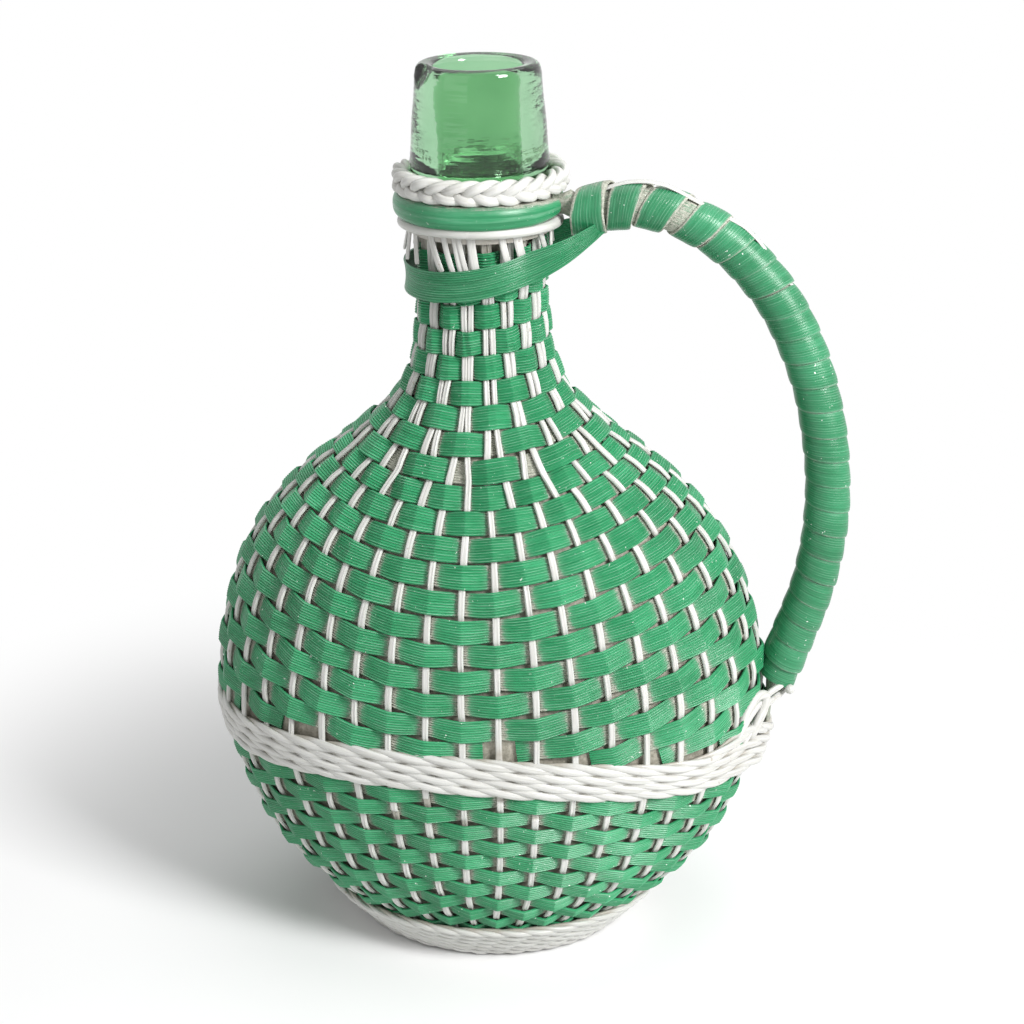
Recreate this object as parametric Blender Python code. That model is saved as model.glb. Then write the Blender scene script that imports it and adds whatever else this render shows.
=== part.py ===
"""Wicker-covered glass demijohn with a side handle.

Metres, +Z up. The origin is on the bottle's axis at the floor, and the handle reaches towards +X.
An azimuth of 0 looks out along -Y and a quarter turn points along +X. The body is oval, wider along X.
"""
import math

import bmesh
import bpy
import numpy as np
from mathutils import Matrix, Vector

TURN = 2 * math.pi
QUARTER = math.pi / 2

# Glass bottle
OVERALL_HEIGHT = 0.400
BODY_HALF_WIDTH = 0.1220
BODY_HALF_DEPTH = 0.0774
BODY_WALL = 0.0034
GLASS_UNDERSIDE = 0.0035
GLASS_FLOOR = 0.0050
NECK_RADIUS = 0.02365
NECK_WALL = 0.00565
NECK_LENGTH = 0.100
NECK_FOOT_HEIGHT = OVERALL_HEIGHT - NECK_LENGTH
BORE_RADIUS = NECK_RADIUS - NECK_WALL
FINISH_HEIGHT = 0.0430
FINISH_FLARE = 0.00565
FINISH_TAPER = 0.0037
FINISH_BASE_HEIGHT = OVERALL_HEIGHT - FINISH_HEIGHT
FINISH_BASE_RADIUS = NECK_RADIUS + FINISH_FLARE
FINISH_TOP_RADIUS = FINISH_BASE_RADIUS - FINISH_TAPER
FINISH_CHAMFER = 0.0035
RIM_ROUND = 0.0028
CHIP_SIZE = 0.0120
CHIP_DEPTH = 0.0028
CHIP_AZIMUTH = math.radians(-62)
CHIP_LEAN = math.radians(28)

# Shares of the way from the glass underside to the neck's foot, and from the neck's radius to the body's size
BODY_OUTLINE_SHARES = (
    (0.000, 0.319, 0.369),
    (0.015, 0.375, 0.434),
    (0.056, 0.492, 0.568),
    (0.110, 0.671, 0.753),
    (0.164, 0.804, 0.859),
    (0.231, 0.898, 0.920),
    (0.298, 0.964, 0.974),
    (0.366, 1.000, 1.000),
    (0.433, 0.994, 0.974),
    (0.508, 0.950, 0.935),
    (0.582, 0.878, 0.875),
    (0.663, 0.739, 0.732),
    (0.730, 0.552, 0.537),
    (0.798, 0.289, 0.375),
    (0.865, 0.093, 0.163),
    (0.933, 0.022, 0.040),
    (1.000, 0.000, 0.000),
)
LEVEL_SHARES = (
    0.000, 0.015, 0.065, 0.125, 0.205, 0.310, 0.430, 0.540, 0.635, 0.710,
    0.780, 0.820, 0.860, 0.925, 1.000,
)
CAVITY_LEVEL_SHARES = (0.065, 0.205, 0.430, 0.635, 0.780, 0.925)

# Stakes
STAKE_GROUPS = 20
STAKES = 2 * STAKE_GROUPS
GROUP_SHIFT_SHARE = -0.3
STAKE_WIDTH = 0.0030
STAKE_NECK_WIDTH = 0.0022
STAKE_NECK_SPACING = 0.0025
STAKE_THICKNESS = 0.0012
STAKE_STAND = 0.00235
STAKES_PART_SHARE = 0.780
STAKES_MEET_SHARE = 0.860

# Base
BASE_THICKNESS = 0.0016
HUB_UNDERSIDE = 0.0019
HUB_THICKNESS = 0.0010
HUB_OVERHANG = 0.0010
BASE_MARGIN = 0.0030
BASE_SIDES = 24

# Ribbon of the weft
RIBBON_THICKNESS = 0.0009
UNDER_STAND = 0.0003
OVER_STAND = 0.00385
UPPER_RIBBON_WIDTH = 0.0102
UPPER_ROW_PITCH = 0.0109
UPPER_START_RISE = 0.0096
UPPER_START_HEIGHT = NECK_FOOT_HEIGHT + UPPER_START_RISE
UPPER_FIRST_ROW = -0.0117
UPPER_ROW_RISE = 0.0020
PAIRED_ROWS = 9
LOWER_RIBBON_WIDTH = 0.0077
LOWER_ROW_PITCH = 0.0083
LOWER_START_HEIGHT = 0.0160
LOWER_FIRST_ROW = 0.0057
LOWER_ROWS = 11
ROW_GAP = 0.0005
SHORTEST_ROW = 4

# Waist band
BAND_ROWS = 4
BAND_CANE_RADIUS = 0.00195
BAND_PITCH = 0.0041
BAND_CENTRE = 0.1010
BAND_RISE = -0.0050
BAND_BULGE = 0.0060
BAND_BULGE_SPREAD = math.radians(12)
CANE_GAP = 0.0003

# Foot border
FOOT_BEADS = 3
FOOT_BEAD_HEIGHT = 0.0046
FOOT_INNER_SPREAD = 0.0050
FOOT_LEAN_SHARE = 1.05
FOOT_THICKNESS = 0.0042
FOOT_BEAD_RELIEF = 0.0011

# Neck trimmings, stacked down from the finish and out from the weft
NECK_GAP = 0.0005
PLAIT_STRANDS = 3
PLAIT_PERIODS = 6
PLAIT_POINTS = 6
PLAIT_HALF_HEIGHT = 0.0036
PLAIT_HALF_DEPTH = 0.0030
PLAIT_CANE_RADIUS = 0.0015
PLAIT_DROP = 0.0045
PLAIT_HEIGHT = FINISH_BASE_HEIGHT - PLAIT_DROP
PLAIT_RADIUS = FINISH_BASE_RADIUS + NECK_GAP + PLAIT_HALF_DEPTH + PLAIT_CANE_RADIUS
HOOP_WIDTH = 0.0095
HOOP_THICKNESS = 0.0060
HOOP_SHOULDER_SHARE = 0.7
HOOP_STEPS = 30
HOOP_GAP_HALF_ANGLE = math.radians(15)
HOOP_TOP_HEIGHT = PLAIT_HEIGHT - PLAIT_HALF_HEIGHT - PLAIT_CANE_RADIUS - NECK_GAP
HOOP_BOTTOM_HEIGHT = HOOP_TOP_HEIGHT - HOOP_WIDTH
STAKE_TOP_HEIGHT = HOOP_TOP_HEIGHT - 2 * NECK_GAP
RING_CANE_RADIUS = 0.0024
RING_HEIGHT = HOOP_BOTTOM_HEIGHT - NECK_GAP - RING_CANE_RADIUS
FRINGE_THICKNESS = 0.0011
FRINGE_COLLAR_DROP = 0.0018
FRINGE_TAIL_LENGTH = 0.0105
FRINGE_TAIL_LEAN = 0.0016
FRINGE_TOP_HEIGHT = HOOP_TOP_HEIGHT - 2 * NECK_GAP
FRINGE_BOTTOM_HEIGHT = RING_HEIGHT - RING_CANE_RADIUS - FRINGE_COLLAR_DROP
FRINGE_INNER_RADIUS = NECK_RADIUS + OVER_STAND + RIBBON_THICKNESS + NECK_GAP
FRINGE_OUTER_RADIUS = FRINGE_INNER_RADIUS + FRINGE_THICKNESS
HOOP_INNER_RADIUS = FRINGE_OUTER_RADIUS + NECK_GAP
RING_RADIUS = FRINGE_OUTER_RADIUS + NECK_GAP + RING_CANE_RADIUS
SLING_CLEARANCE = 0.0014
SLING_RADIUS = FRINGE_OUTER_RADIUS + SLING_CLEARANCE
SLING_THICKNESS = 0.0010
SLING_WIDTH = 0.0128
SLING_END_WIDTH = 0.0090
SLING_DROP = 0.0226
SLING_LOW_HEIGHT = RING_HEIGHT - SLING_DROP
SLING_RISE = 0.0026
SLING_NECK_HALF_ANGLE = math.radians(52)
SLING_END_REACH = 0.0600
SLING_END_DROP = 0.0119
SLING_STEPS = 18

# Handle
HANDLE_START_CLEARANCE = 0.0013
HANDLE_START_REACH = PLAIT_RADIUS + PLAIT_HALF_DEPTH + PLAIT_CANE_RADIUS + HANDLE_START_CLEARANCE
HANDLE_STANDOFF = 0.0290
HANDLE_REACH = BODY_HALF_WIDTH + HANDLE_STANDOFF
HANDLE_DROP = 0.0055
HANDLE_TOP_HEIGHT = HOOP_TOP_HEIGHT - HANDLE_DROP
HANDLE_ROOT_REACHES = (FRINGE_OUTER_RADIUS + NECK_GAP, RING_RADIUS + RING_CANE_RADIUS + 2 * NECK_GAP)
HANDLE_CORE_RADIUS = 0.0080
HANDLE_ROOT_RADIUS = 0.0044
HANDLE_ROOT_HEIGHT = RING_HEIGHT + RING_CANE_RADIUS + NECK_GAP + HANDLE_ROOT_RADIUS
HANDLE_FOOT_RADIUS = 0.0033
HANDLE_SIDES = 8
HANDLE_FOOT_STATIONS = 2
HANDLE_STATIONS = 24
HANDLE_FLAT = 0.0060
HANDLE_TONGUE_THICKNESS = 0.0030
HANDLE_TONGUE_WIDTH = 0.0100
HANDLE_TONGUE_DROP = 0.0037
HANDLE_TONGUE_RISE = 0.0173
HANDLE_FOOT_RISE = 0.0278
HANDLE_PATH_SHARES = (
    (0.000, 0.984),
    (0.234, 1.000),
    (0.514, 0.952),
    (0.739, 0.845),
    (0.892, 0.702),
    (0.978, 0.537),
    (1.000, 0.375),
    (0.962, 0.224),
    (0.888, 0.100),
    (0.824, 0.000),
)
WRAP_TURNS = 22
WRAP_GAP = 0.0009
WRAP_THICKNESS = 0.0008
WRAP_SPACE = 0.0008
WRAP_START = 0.0010
WRAP_END = 0.0005
SPINE_WIDTH = 0.0032
SPINE_THICKNESS = 0.0010
SPINE_GAP = 0.0003
TIE_CANE_RADIUS = 0.0018
TIE_GAP = 0.0005
TIE_HOOK_AZIMUTHS = (math.radians(70), math.radians(64), math.radians(66), math.radians(76))
TIE_HOOK_RISES = (0.0135, 0.0085, 0.0010, 0.0)

TABLE_STEPS = 240
SHARP_ANGLE = math.radians(35)
COLLECTION_NAME = "demijohn"
CUTTER_COLLECTION_NAME = "cutters"
FRAME_NAME = "demijohn_frame"


def clear_scene():
    for item in list(bpy.data.objects):
        bpy.data.objects.remove(item, do_unlink=True)


def smooth_curve(knots, values, wanted):
    """Monotone cubic curve through the knots, read at the wanted places."""
    knots = np.asarray(knots, dtype=float)
    values = np.asarray(values, dtype=float)
    steps = np.diff(knots)
    slopes = np.diff(values) / steps
    tangents = np.concatenate(([slopes[0]], np.zeros(len(slopes) - 1), [slopes[-1]]))
    for i in range(1, len(slopes)):
        if slopes[i - 1] * slopes[i] > 0:
            tangents[i] = 2 * slopes[i - 1] * slopes[i] / (slopes[i - 1] + slopes[i])
    cell = np.clip(np.searchsorted(knots, wanted) - 1, 0, len(steps) - 1)
    t = (wanted - knots[cell]) / steps[cell]
    rise = values[cell + 1] - values[cell]
    start = steps[cell] * tangents[cell]
    end = steps[cell] * tangents[cell + 1]
    return values[cell] + t * start + t * t * (3 * rise - 2 * start - end) + t ** 3 * (start + end - 2 * rise)


def body_height(share):
    return GLASS_UNDERSIDE + share * (NECK_FOOT_HEIGHT - GLASS_UNDERSIDE)


OUTLINE = np.array(BODY_OUTLINE_SHARES)
LEVELS = np.array([body_height(share) for share in LEVEL_SHARES])
LEVEL_HALF_WIDTHS = NECK_RADIUS + (BODY_HALF_WIDTH - NECK_RADIUS) * smooth_curve(
    OUTLINE[:, 0], OUTLINE[:, 1], np.array(LEVEL_SHARES))
LEVEL_HALF_DEPTHS = NECK_RADIUS + (BODY_HALF_DEPTH - NECK_RADIUS) * smooth_curve(
    OUTLINE[:, 0], OUTLINE[:, 2], np.array(LEVEL_SHARES))
WIDTH_SLOPES = np.gradient(LEVEL_HALF_WIDTHS, LEVELS)
DEPTH_SLOPES = np.gradient(LEVEL_HALF_DEPTHS, LEVELS)
HEIGHTS = np.linspace(GLASS_UNDERSIDE, OVERALL_HEIGHT, TABLE_STEPS)
HALF_WIDTHS = np.interp(HEIGHTS, LEVELS, LEVEL_HALF_WIDTHS)
HALF_DEPTHS = np.interp(HEIGHTS, LEVELS, LEVEL_HALF_DEPTHS)


def half_width(height):
    return float(np.interp(height, LEVELS, LEVEL_HALF_WIDTHS))


def half_depth(height):
    return float(np.interp(height, LEVELS, LEVEL_HALF_DEPTHS))


def on_body(azimuth, height, stand):
    """Point that stands off the glass body's outer face, square to it."""
    width = half_width(height)
    depth = half_depth(height)
    sine = math.sin(azimuth)
    cosine = math.cos(azimuth)
    foot = Vector((width * sine, -depth * cosine, height))
    width_slope = float(np.interp(height, LEVELS, WIDTH_SLOPES))
    depth_slope = float(np.interp(height, LEVELS, DEPTH_SLOPES))
    tilt = width * depth_slope * cosine ** 2 + depth * width_slope * sine ** 2
    normal = Vector((depth * sine, -width * cosine, -tilt)).normalized()
    return foot + stand * normal


def around(azimuth, height, spread):
    """Point at a level distance outside the body's oval at that height."""
    width = half_width(height) + spread
    depth = half_depth(height) + spread
    return Vector((width * math.sin(azimuth), -depth * math.cos(azimuth), height))


def round_point(azimuth, radius, height):
    return Vector((radius * math.sin(azimuth), -radius * math.cos(azimuth), height))


def even_azimuth(share):
    """Azimuth at a share of the way round the body's widest oval, measured along it."""
    angles = np.linspace(0, TURN, 8 * TABLE_STEPS)
    runs = np.hypot(BODY_HALF_WIDTH * np.cos(angles), BODY_HALF_DEPTH * np.sin(angles))
    length = np.concatenate(([0], np.cumsum((runs[1:] + runs[:-1]) / 2)))
    whole = math.floor(share)
    return whole * TURN + float(np.interp((share - whole) * length[-1], length, angles))


def group_share(group):
    return (group + GROUP_SHIFT_SHARE) / STAKE_GROUPS


STAKE_AZIMUTHS = []
NECK_AZIMUTHS = []
for number in range(STAKES):
    side = number % 2 - 0.5
    STAKE_AZIMUTHS.append(even_azimuth(group_share(number // 2) + side / STAKES))
    NECK_AZIMUTHS.append(TURN * (group_share(number // 2) + side / STAKES))


def stake_closing(height):
    """How far a pair of stakes has drawn together at a height, from 0 to 1."""
    low = body_height(STAKES_PART_SHARE)
    high = body_height(STAKES_MEET_SHARE)
    return min(max((height - low) / (high - low), 0.0), 1.0)


def stake_azimuth(number, height):
    """Evenly round the body, drawn together in pairs on the neck."""
    closing = stake_closing(height)
    side = number % 2 - 0.5
    paired = TURN * group_share(number // 2) + side * STAKE_NECK_SPACING / half_width(height)
    return STAKE_AZIMUTHS[number] * (1 - closing) + paired * closing


def meridian(azimuth):
    """Length along the glass from its underside, at each table height."""
    runs = np.hypot(np.diff(HALF_WIDTHS) * math.sin(azimuth), np.diff(HALF_DEPTHS) * math.cos(azimuth))
    return np.concatenate(([0], np.cumsum(np.hypot(runs, np.diff(HEIGHTS)))))


MERIDIANS = [meridian(azimuth) for azimuth in STAKE_AZIMUTHS]


def height_at(number, start_height, length):
    """Height reached from a start height by going a length up along a stake's line."""
    lengths = MERIDIANS[number]
    start = float(np.interp(start_height, HEIGHTS, lengths))
    return float(np.interp(start + length, lengths, HEIGHTS))


BAND_SIDE_HEIGHT = height_at(STAKES // 4, LOWER_START_HEIGHT, BAND_CENTRE + BAND_RISE)
HANDLE_FOOT_HEIGHT = BAND_SIDE_HEIGHT + HANDLE_FOOT_RISE
HANDLE_TONGUE_TOP = BAND_SIDE_HEIGHT + HANDLE_TONGUE_RISE
HANDLE_TONGUE_BOTTOM = BAND_SIDE_HEIGHT - HANDLE_TONGUE_DROP


def new_material(name, colour, roughness, transmission=0.0):
    material = bpy.data.materials.new(name)
    material.use_nodes = True
    shader = material.node_tree.nodes["Principled BSDF"]
    shader.inputs["Base Color"].default_value = (*colour, 1.0)
    shader.inputs["Roughness"].default_value = roughness
    shader.inputs["Metallic"].default_value = 0.0
    shader.inputs["Transmission Weight"].default_value = transmission
    material.diffuse_color = (*colour, 1.0)
    return material


def move_to(item, collection_name):
    for collection in list(item.users_collection):
        collection.objects.unlink(item)
    bpy.data.collections[collection_name].objects.link(item)


def finish_object(item, material):
    """Give a piece its material, its collection and its parent."""
    item.data.materials.append(material)
    move_to(item, COLLECTION_NAME)
    item.parent = bpy.data.objects[FRAME_NAME]
    if item.type == "MESH":
        item.data.shade_smooth()
        item.data.set_sharp_from_angle(angle=SHARP_ANGLE)
    return item


def add_object(name, data, material):
    return finish_object(bpy.data.objects.new(name, data), material)


def mesh_from(bm, name):
    bmesh.ops.recalc_face_normals(bm, faces=bm.faces)
    mesh = bpy.data.meshes.new(name)
    bm.to_mesh(mesh)
    bm.free()
    return mesh


def bridge(bm, first, second):
    """Faces between two sections of as many points."""
    count = len(first)
    for i in range(count):
        j = (i + 1) % count
        bm.faces.new((first[i], first[j], second[j], second[i]))


def loft(name, sections, material, closed=False):
    """Solid through sections of as many points, a ring when closed and capped otherwise."""
    bm = bmesh.new()
    rings = [[bm.verts.new(point) for point in section] for section in sections]
    for first, second in zip(rings, rings[1:]):
        bridge(bm, first, second)
    if closed:
        bridge(bm, rings[-1], rings[0])
    else:
        bm.faces.new(rings[0])
        bm.faces.new(rings[-1])
    return add_object(name, mesh_from(bm, name), material)


def cane(name, points, radius, material, closed=False):
    """Round cane along points, as a curve with a bevel."""
    curve = bpy.data.curves.new(name, "CURVE")
    curve.dimensions = "3D"
    curve.bevel_depth = radius
    curve.bevel_resolution = 0
    curve.render_resolution_u = 0
    curve.use_fill_caps = not closed
    spline = curve.splines.new("POLY")
    spline.points.add(len(points) - 1)
    for slot, point in zip(spline.points, points):
        slot.co = (*point, 1.0)
    spline.use_cyclic_u = closed
    return add_object(name, curve, material)


def glass_bottle(material):
    """Oval body, round neck and conical finish, lofted up the outside and down the bore."""
    neck_inner = BORE_RADIUS + (NECK_RADIUS - BORE_RADIUS) / 4
    sections = []
    for height in LEVELS:
        sections.append([around(stake_azimuth(n, height), height, 0) for n in range(STAKES)])
    lean = (FINISH_BASE_RADIUS - FINISH_TOP_RADIUS) / FINISH_HEIGHT
    turned = [
        (NECK_RADIUS, FINISH_BASE_HEIGHT - FINISH_CHAMFER / 2),
        (FINISH_BASE_RADIUS - FINISH_CHAMFER, FINISH_BASE_HEIGHT - FINISH_CHAMFER / 2),
        (FINISH_BASE_RADIUS, FINISH_BASE_HEIGHT + FINISH_CHAMFER / 2),
        (FINISH_TOP_RADIUS + lean * RIM_ROUND, OVERALL_HEIGHT - RIM_ROUND),
        (FINISH_TOP_RADIUS - RIM_ROUND / 2, OVERALL_HEIGHT),
        (BORE_RADIUS + RIM_ROUND / 2, OVERALL_HEIGHT),
        (BORE_RADIUS, OVERALL_HEIGHT - RIM_ROUND / 2),
        (neck_inner, NECK_FOOT_HEIGHT),
    ]
    for radius, height in turned:
        sections.append([round_point(azimuth, radius, height) for azimuth in NECK_AZIMUTHS])
    for share in reversed(CAVITY_LEVEL_SHARES):
        sections.append([on_body(azimuth, body_height(share), -BODY_WALL) for azimuth in STAKE_AZIMUTHS])
    inner_floor = GLASS_UNDERSIDE + GLASS_FLOOR
    sections.append([around(azimuth, inner_floor, -2 * BODY_WALL) for azimuth in STAKE_AZIMUTHS])
    bottle = loft("glass_bottle", sections, material)
    chip = bottle.modifiers.new("rim_chip", "BOOLEAN")
    chip.operation = "DIFFERENCE"
    chip.object = chip_cutter()
    return bottle


def chip_cutter():
    """Block that splits a flake off the rim's outer corner."""
    bpy.ops.mesh.primitive_cube_add(size=1)
    cutter = bpy.context.active_object
    cutter.name = "chip_cutter"
    cutter.scale = (CHIP_SIZE, CHIP_SIZE, CHIP_SIZE)
    reach = FINISH_TOP_RADIUS + CHIP_SIZE / 2 - CHIP_DEPTH
    cutter.location = round_point(CHIP_AZIMUTH, reach, OVERALL_HEIGHT - CHIP_DEPTH)
    cutter.rotation_euler = (CHIP_LEAN, 0, CHIP_AZIMUTH)
    cutter.hide_render = True
    cutter.display_type = "WIRE"
    move_to(cutter, CUTTER_COLLECTION_NAME)
    return cutter


def base_disc(material):
    """Flat oval disc on the floor, inside the foot border."""
    bpy.ops.mesh.primitive_cylinder_add(vertices=BASE_SIDES, radius=1, depth=1)
    disc = bpy.context.active_object
    disc.name = "base_disc"
    width = half_width(GLASS_UNDERSIDE) - BASE_MARGIN
    depth = half_depth(GLASS_UNDERSIDE) - BASE_MARGIN
    disc.data.transform(Matrix.Diagonal((width, depth, BASE_THICKNESS, 1)))
    disc.data.transform(Matrix.Translation((0, 0, BASE_THICKNESS / 2)))
    finish_object(disc, material)


def stake_section(number, height, stand):
    """Flat face in, ridge out."""
    azimuth = stake_azimuth(number, height)
    width = STAKE_WIDTH + (STAKE_NECK_WIDTH - STAKE_WIDTH) * stake_closing(height)
    run = math.hypot(half_width(height) * math.cos(azimuth), half_depth(height) * math.sin(azimuth))
    swing = width / 2 / run
    return (
        on_body(azimuth - swing, height, stand),
        on_body(azimuth + swing, height, stand),
        on_body(azimuth, height, stand + STAKE_THICKNESS),
    )


def warp(material):
    """All stakes, joined where they cross under the bottle by one thin hub."""
    bm = bmesh.new()
    hub_width = half_width(GLASS_UNDERSIDE) + HUB_OVERHANG
    hub_depth = half_depth(GLASS_UNDERSIDE) + HUB_OVERHANG
    top = []
    bottom = []
    heights = list(LEVELS[1:]) + [STAKE_TOP_HEIGHT]
    for number, azimuth in enumerate(STAKE_AZIMUTHS):
        run = math.hypot(hub_width * math.cos(azimuth), hub_depth * math.sin(azimuth))
        swing = STAKE_WIDTH / 2 / run
        root = []
        for turned, height in ((azimuth - swing, HUB_UNDERSIDE + HUB_THICKNESS),
                               (azimuth + swing, HUB_UNDERSIDE + HUB_THICKNESS),
                               (azimuth, HUB_UNDERSIDE)):
            spot = Vector((hub_width * math.sin(turned), -hub_depth * math.cos(turned), height))
            root.append(bm.verts.new(spot))
        top.extend(root[:2])
        bottom.append(root[2])
        previous = root
        for height in heights:
            section = [bm.verts.new(point) for point in stake_section(number, height, STAKE_STAND)]
            bridge(bm, previous, section)
            previous = section
        bm.faces.new(previous)
    for number in range(STAKES):
        after = (number + 1) % STAKES
        bm.faces.new((top[2 * number + 1], top[2 * after], bottom[after], bottom[number]))
    bm.faces.new(top)
    bm.faces.new(bottom)
    add_object("warp_stakes", mesh_from(bm, "warp_stakes"), material)


def ribbon_lift(azimuth, low, high):
    """How far the glass bulges past a straight line between two heights."""
    start = on_body(azimuth, low, 0)
    line = (on_body(azimuth, high, 0) - start).normalized()
    lift = 0.0
    for level in LEVELS:
        if low < level < high:
            bulge = on_body(azimuth, level, 0) - start
            off = bulge - line * bulge.dot(line)
            if off.dot(on_body(azimuth, level, 1) - on_body(azimuth, level, 0)) > 0:
                lift = max(lift, off.length)
    return lift


def ribbon_section(number, middle, width, stand):
    """Crowned ribbon across a stake: flat face in, ridge out."""
    low = height_at(number, middle, -width / 2)
    high = height_at(number, middle, width / 2)
    azimuth = stake_azimuth(number, middle)
    stand += ribbon_lift(azimuth, low, high)
    lower = on_body(stake_azimuth(number, low), low, stand)
    upper = on_body(stake_azimuth(number, high), high, stand)
    chord = (lower + upper) / 2
    outward = (on_body(azimuth, middle, stand) - on_body(azimuth, middle, 0)).normalized()
    rise = (on_body(azimuth, middle, stand + RIBBON_THICKNESS) - chord).dot(outward)
    return lower, upper, chord + outward * max(rise, RIBBON_THICKNESS)


def ribbon_row(name, middles, width, row, material):
    """Weft row over and under the stakes that middles names, closed when it names them all."""
    sections = []
    for number, middle in middles:
        step = number // 2 if row < PAIRED_ROWS else number
        stand = OVER_STAND if (step + row) % 2 else UNDER_STAND
        sections.append(ribbon_section(number, middle, width, stand))
    loft(name, sections, material, closed=len(middles) == STAKES)


def upper_row_middle(number, row):
    length = UPPER_FIRST_ROW + row * UPPER_ROW_PITCH - UPPER_ROW_RISE * math.sin(STAKE_AZIMUTHS[number])
    return height_at(number, UPPER_START_HEIGHT, -length)


def band_middle(number, row):
    """Height of a waist cane on a stake's line."""
    length = BAND_CENTRE + (row - (BAND_ROWS - 1) / 2) * BAND_PITCH
    length += BAND_RISE * math.sin(STAKE_AZIMUTHS[number])
    return height_at(number, LOWER_START_HEIGHT, length)


def row_clears_band(number, row):
    top = height_at(number, band_middle(number, BAND_ROWS - 1), BAND_CANE_RADIUS + ROW_GAP)
    return height_at(number, upper_row_middle(number, row), -UPPER_RIBBON_WIDTH / 2) > top


def clear_run(clear, centre):
    """Stakes one after another on both sides of a centre stake, as far as they are clear."""
    if not clear[centre]:
        return []
    first = centre
    last = centre
    while clear[(first - 1) % STAKES]:
        first -= 1
    while clear[(last + 1) % STAKES]:
        last += 1
    return [number % STAKES for number in range(first, last + 1)]


def upper_weft(material):
    """Full rows down to the waist band, then part rows at the sides, where the oval body is longer."""
    row = 0
    while True:
        clear = [row_clears_band(number, row) for number in range(STAKES)]
        if not any(clear):
            break
        if all(clear):
            middles = [(number, upper_row_middle(number, row)) for number in range(STAKES)]
            ribbon_row(f"upper_weft_{row + 1:02d}", middles, UPPER_RIBBON_WIDTH, row, material)
        else:
            for side, centre in (("right", STAKES // 4), ("left", 3 * STAKES // 4)):
                run = clear_run(clear, centre)
                if len(run) >= SHORTEST_ROW:
                    middles = [(number, upper_row_middle(number, row)) for number in run]
                    name = f"upper_weft_{row + 1:02d}_{side}"
                    ribbon_row(name, middles, UPPER_RIBBON_WIDTH, row, material)
        row += 1


def lower_weft(material):
    for row in range(LOWER_ROWS):
        middles = []
        for number in range(STAKES):
            level = LOWER_FIRST_ROW + row * LOWER_ROW_PITCH
            length = level * (1 + BAND_RISE / BAND_CENTRE * math.sin(STAKE_AZIMUTHS[number]))
            middles.append((number, height_at(number, LOWER_START_HEIGHT, length)))
        parity = LOWER_ROWS - row + PAIRED_ROWS
        ribbon_row(f"lower_weft_{row + 1:02d}", middles, LOWER_RIBBON_WIDTH, parity, material)


def band_stand(azimuth):
    """Canes lie on the stakes, and swell out over the handle's tongue."""
    off = math.remainder(azimuth - QUARTER, TURN) / BAND_BULGE_SPREAD
    rest = STAKE_STAND + STAKE_THICKNESS + CANE_GAP + BAND_CANE_RADIUS
    return rest + BAND_BULGE * math.exp(-off * off)


def waist_band(material):
    for row in range(BAND_ROWS):
        points = []
        for number, azimuth in enumerate(STAKE_AZIMUTHS):
            points.append(on_body(azimuth, band_middle(number, row), band_stand(azimuth)))
        cane(f"waist_cane_{row + 1}", points, BAND_CANE_RADIUS, material, closed=True)


def foot_border(material):
    """Twined border as one ring: a bead for each row of cane, leaning out with the glass."""
    top = FOOT_BEADS * FOOT_BEAD_HEIGHT
    lean = FOOT_LEAN_SHARE * (half_width(top) - half_width(GLASS_UNDERSIDE)) / top

    def spot(azimuth, height, spread):
        width = half_width(GLASS_UNDERSIDE) + FOOT_INNER_SPREAD + height * lean + spread
        depth = half_depth(GLASS_UNDERSIDE) + FOOT_INNER_SPREAD + height * lean + spread
        return Vector((width * math.sin(azimuth), -depth * math.cos(azimuth), height))

    outline = [(top, 0.0), (0.0, 0.0)]
    for bead in range(FOOT_BEADS):
        start = bead * FOOT_BEAD_HEIGHT
        outline.append((start, FOOT_THICKNESS - FOOT_BEAD_RELIEF))
        outline.append((start + FOOT_BEAD_HEIGHT / 2, FOOT_THICKNESS))
    sections = [[spot(azimuth, *place) for place in outline] for azimuth in STAKE_AZIMUTHS]
    loft("foot_border", sections, material, closed=True)


def neck_fringe(material):
    """Folded stake ends: a thin collar under the hoop with a tail below each group of stakes."""
    bm = bmesh.new()
    rings = []
    for number in range(STAKES):
        azimuth = TURN * number / STAKES
        rings.append([bm.verts.new(round_point(azimuth, radius, height)) for radius, height in (
            (FRINGE_INNER_RADIUS, FRINGE_TOP_HEIGHT),
            (FRINGE_OUTER_RADIUS, FRINGE_TOP_HEIGHT),
            (FRINGE_OUTER_RADIUS, FRINGE_BOTTOM_HEIGHT),
            (FRINGE_INNER_RADIUS, FRINGE_BOTTOM_HEIGHT),
        )])
    for number in range(STAKES):
        bridge(bm, rings[number], rings[(number + 1) % STAKES])
    bmesh.ops.recalc_face_normals(bm, faces=bm.faces)
    roots = [rings[number][3] for number in range(0, STAKES, 2)]
    undersides = [face for face in bm.faces if face.normal.z < -0.5 and any(v in roots for v in face.verts)]
    tails = [face for index, face in enumerate(sorted(undersides, key=face_azimuth)) if index % 2]
    grown = bmesh.ops.extrude_discrete_faces(bm, faces=tails)["faces"]
    for face in grown:
        across = Vector((-face.calc_center_median().y, face.calc_center_median().x, 0)).normalized()
        for vertex in face.verts:
            vertex.co.z -= FRINGE_TAIL_LENGTH
            vertex.co += across * FRINGE_TAIL_LEAN
    add_object("neck_fringe", mesh_from(bm, "neck_fringe"), material)


def face_azimuth(face):
    centre = face.calc_center_median()
    return math.atan2(centre.x, -centre.y)


def neck_ring(material):
    ring = [TURN * step / STAKE_GROUPS for step in range(STAKE_GROUPS)]
    points = [round_point(azimuth, RING_RADIUS, RING_HEIGHT) for azimuth in ring]
    cane("neck_ring", points, RING_CANE_RADIUS, material, closed=True)


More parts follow.
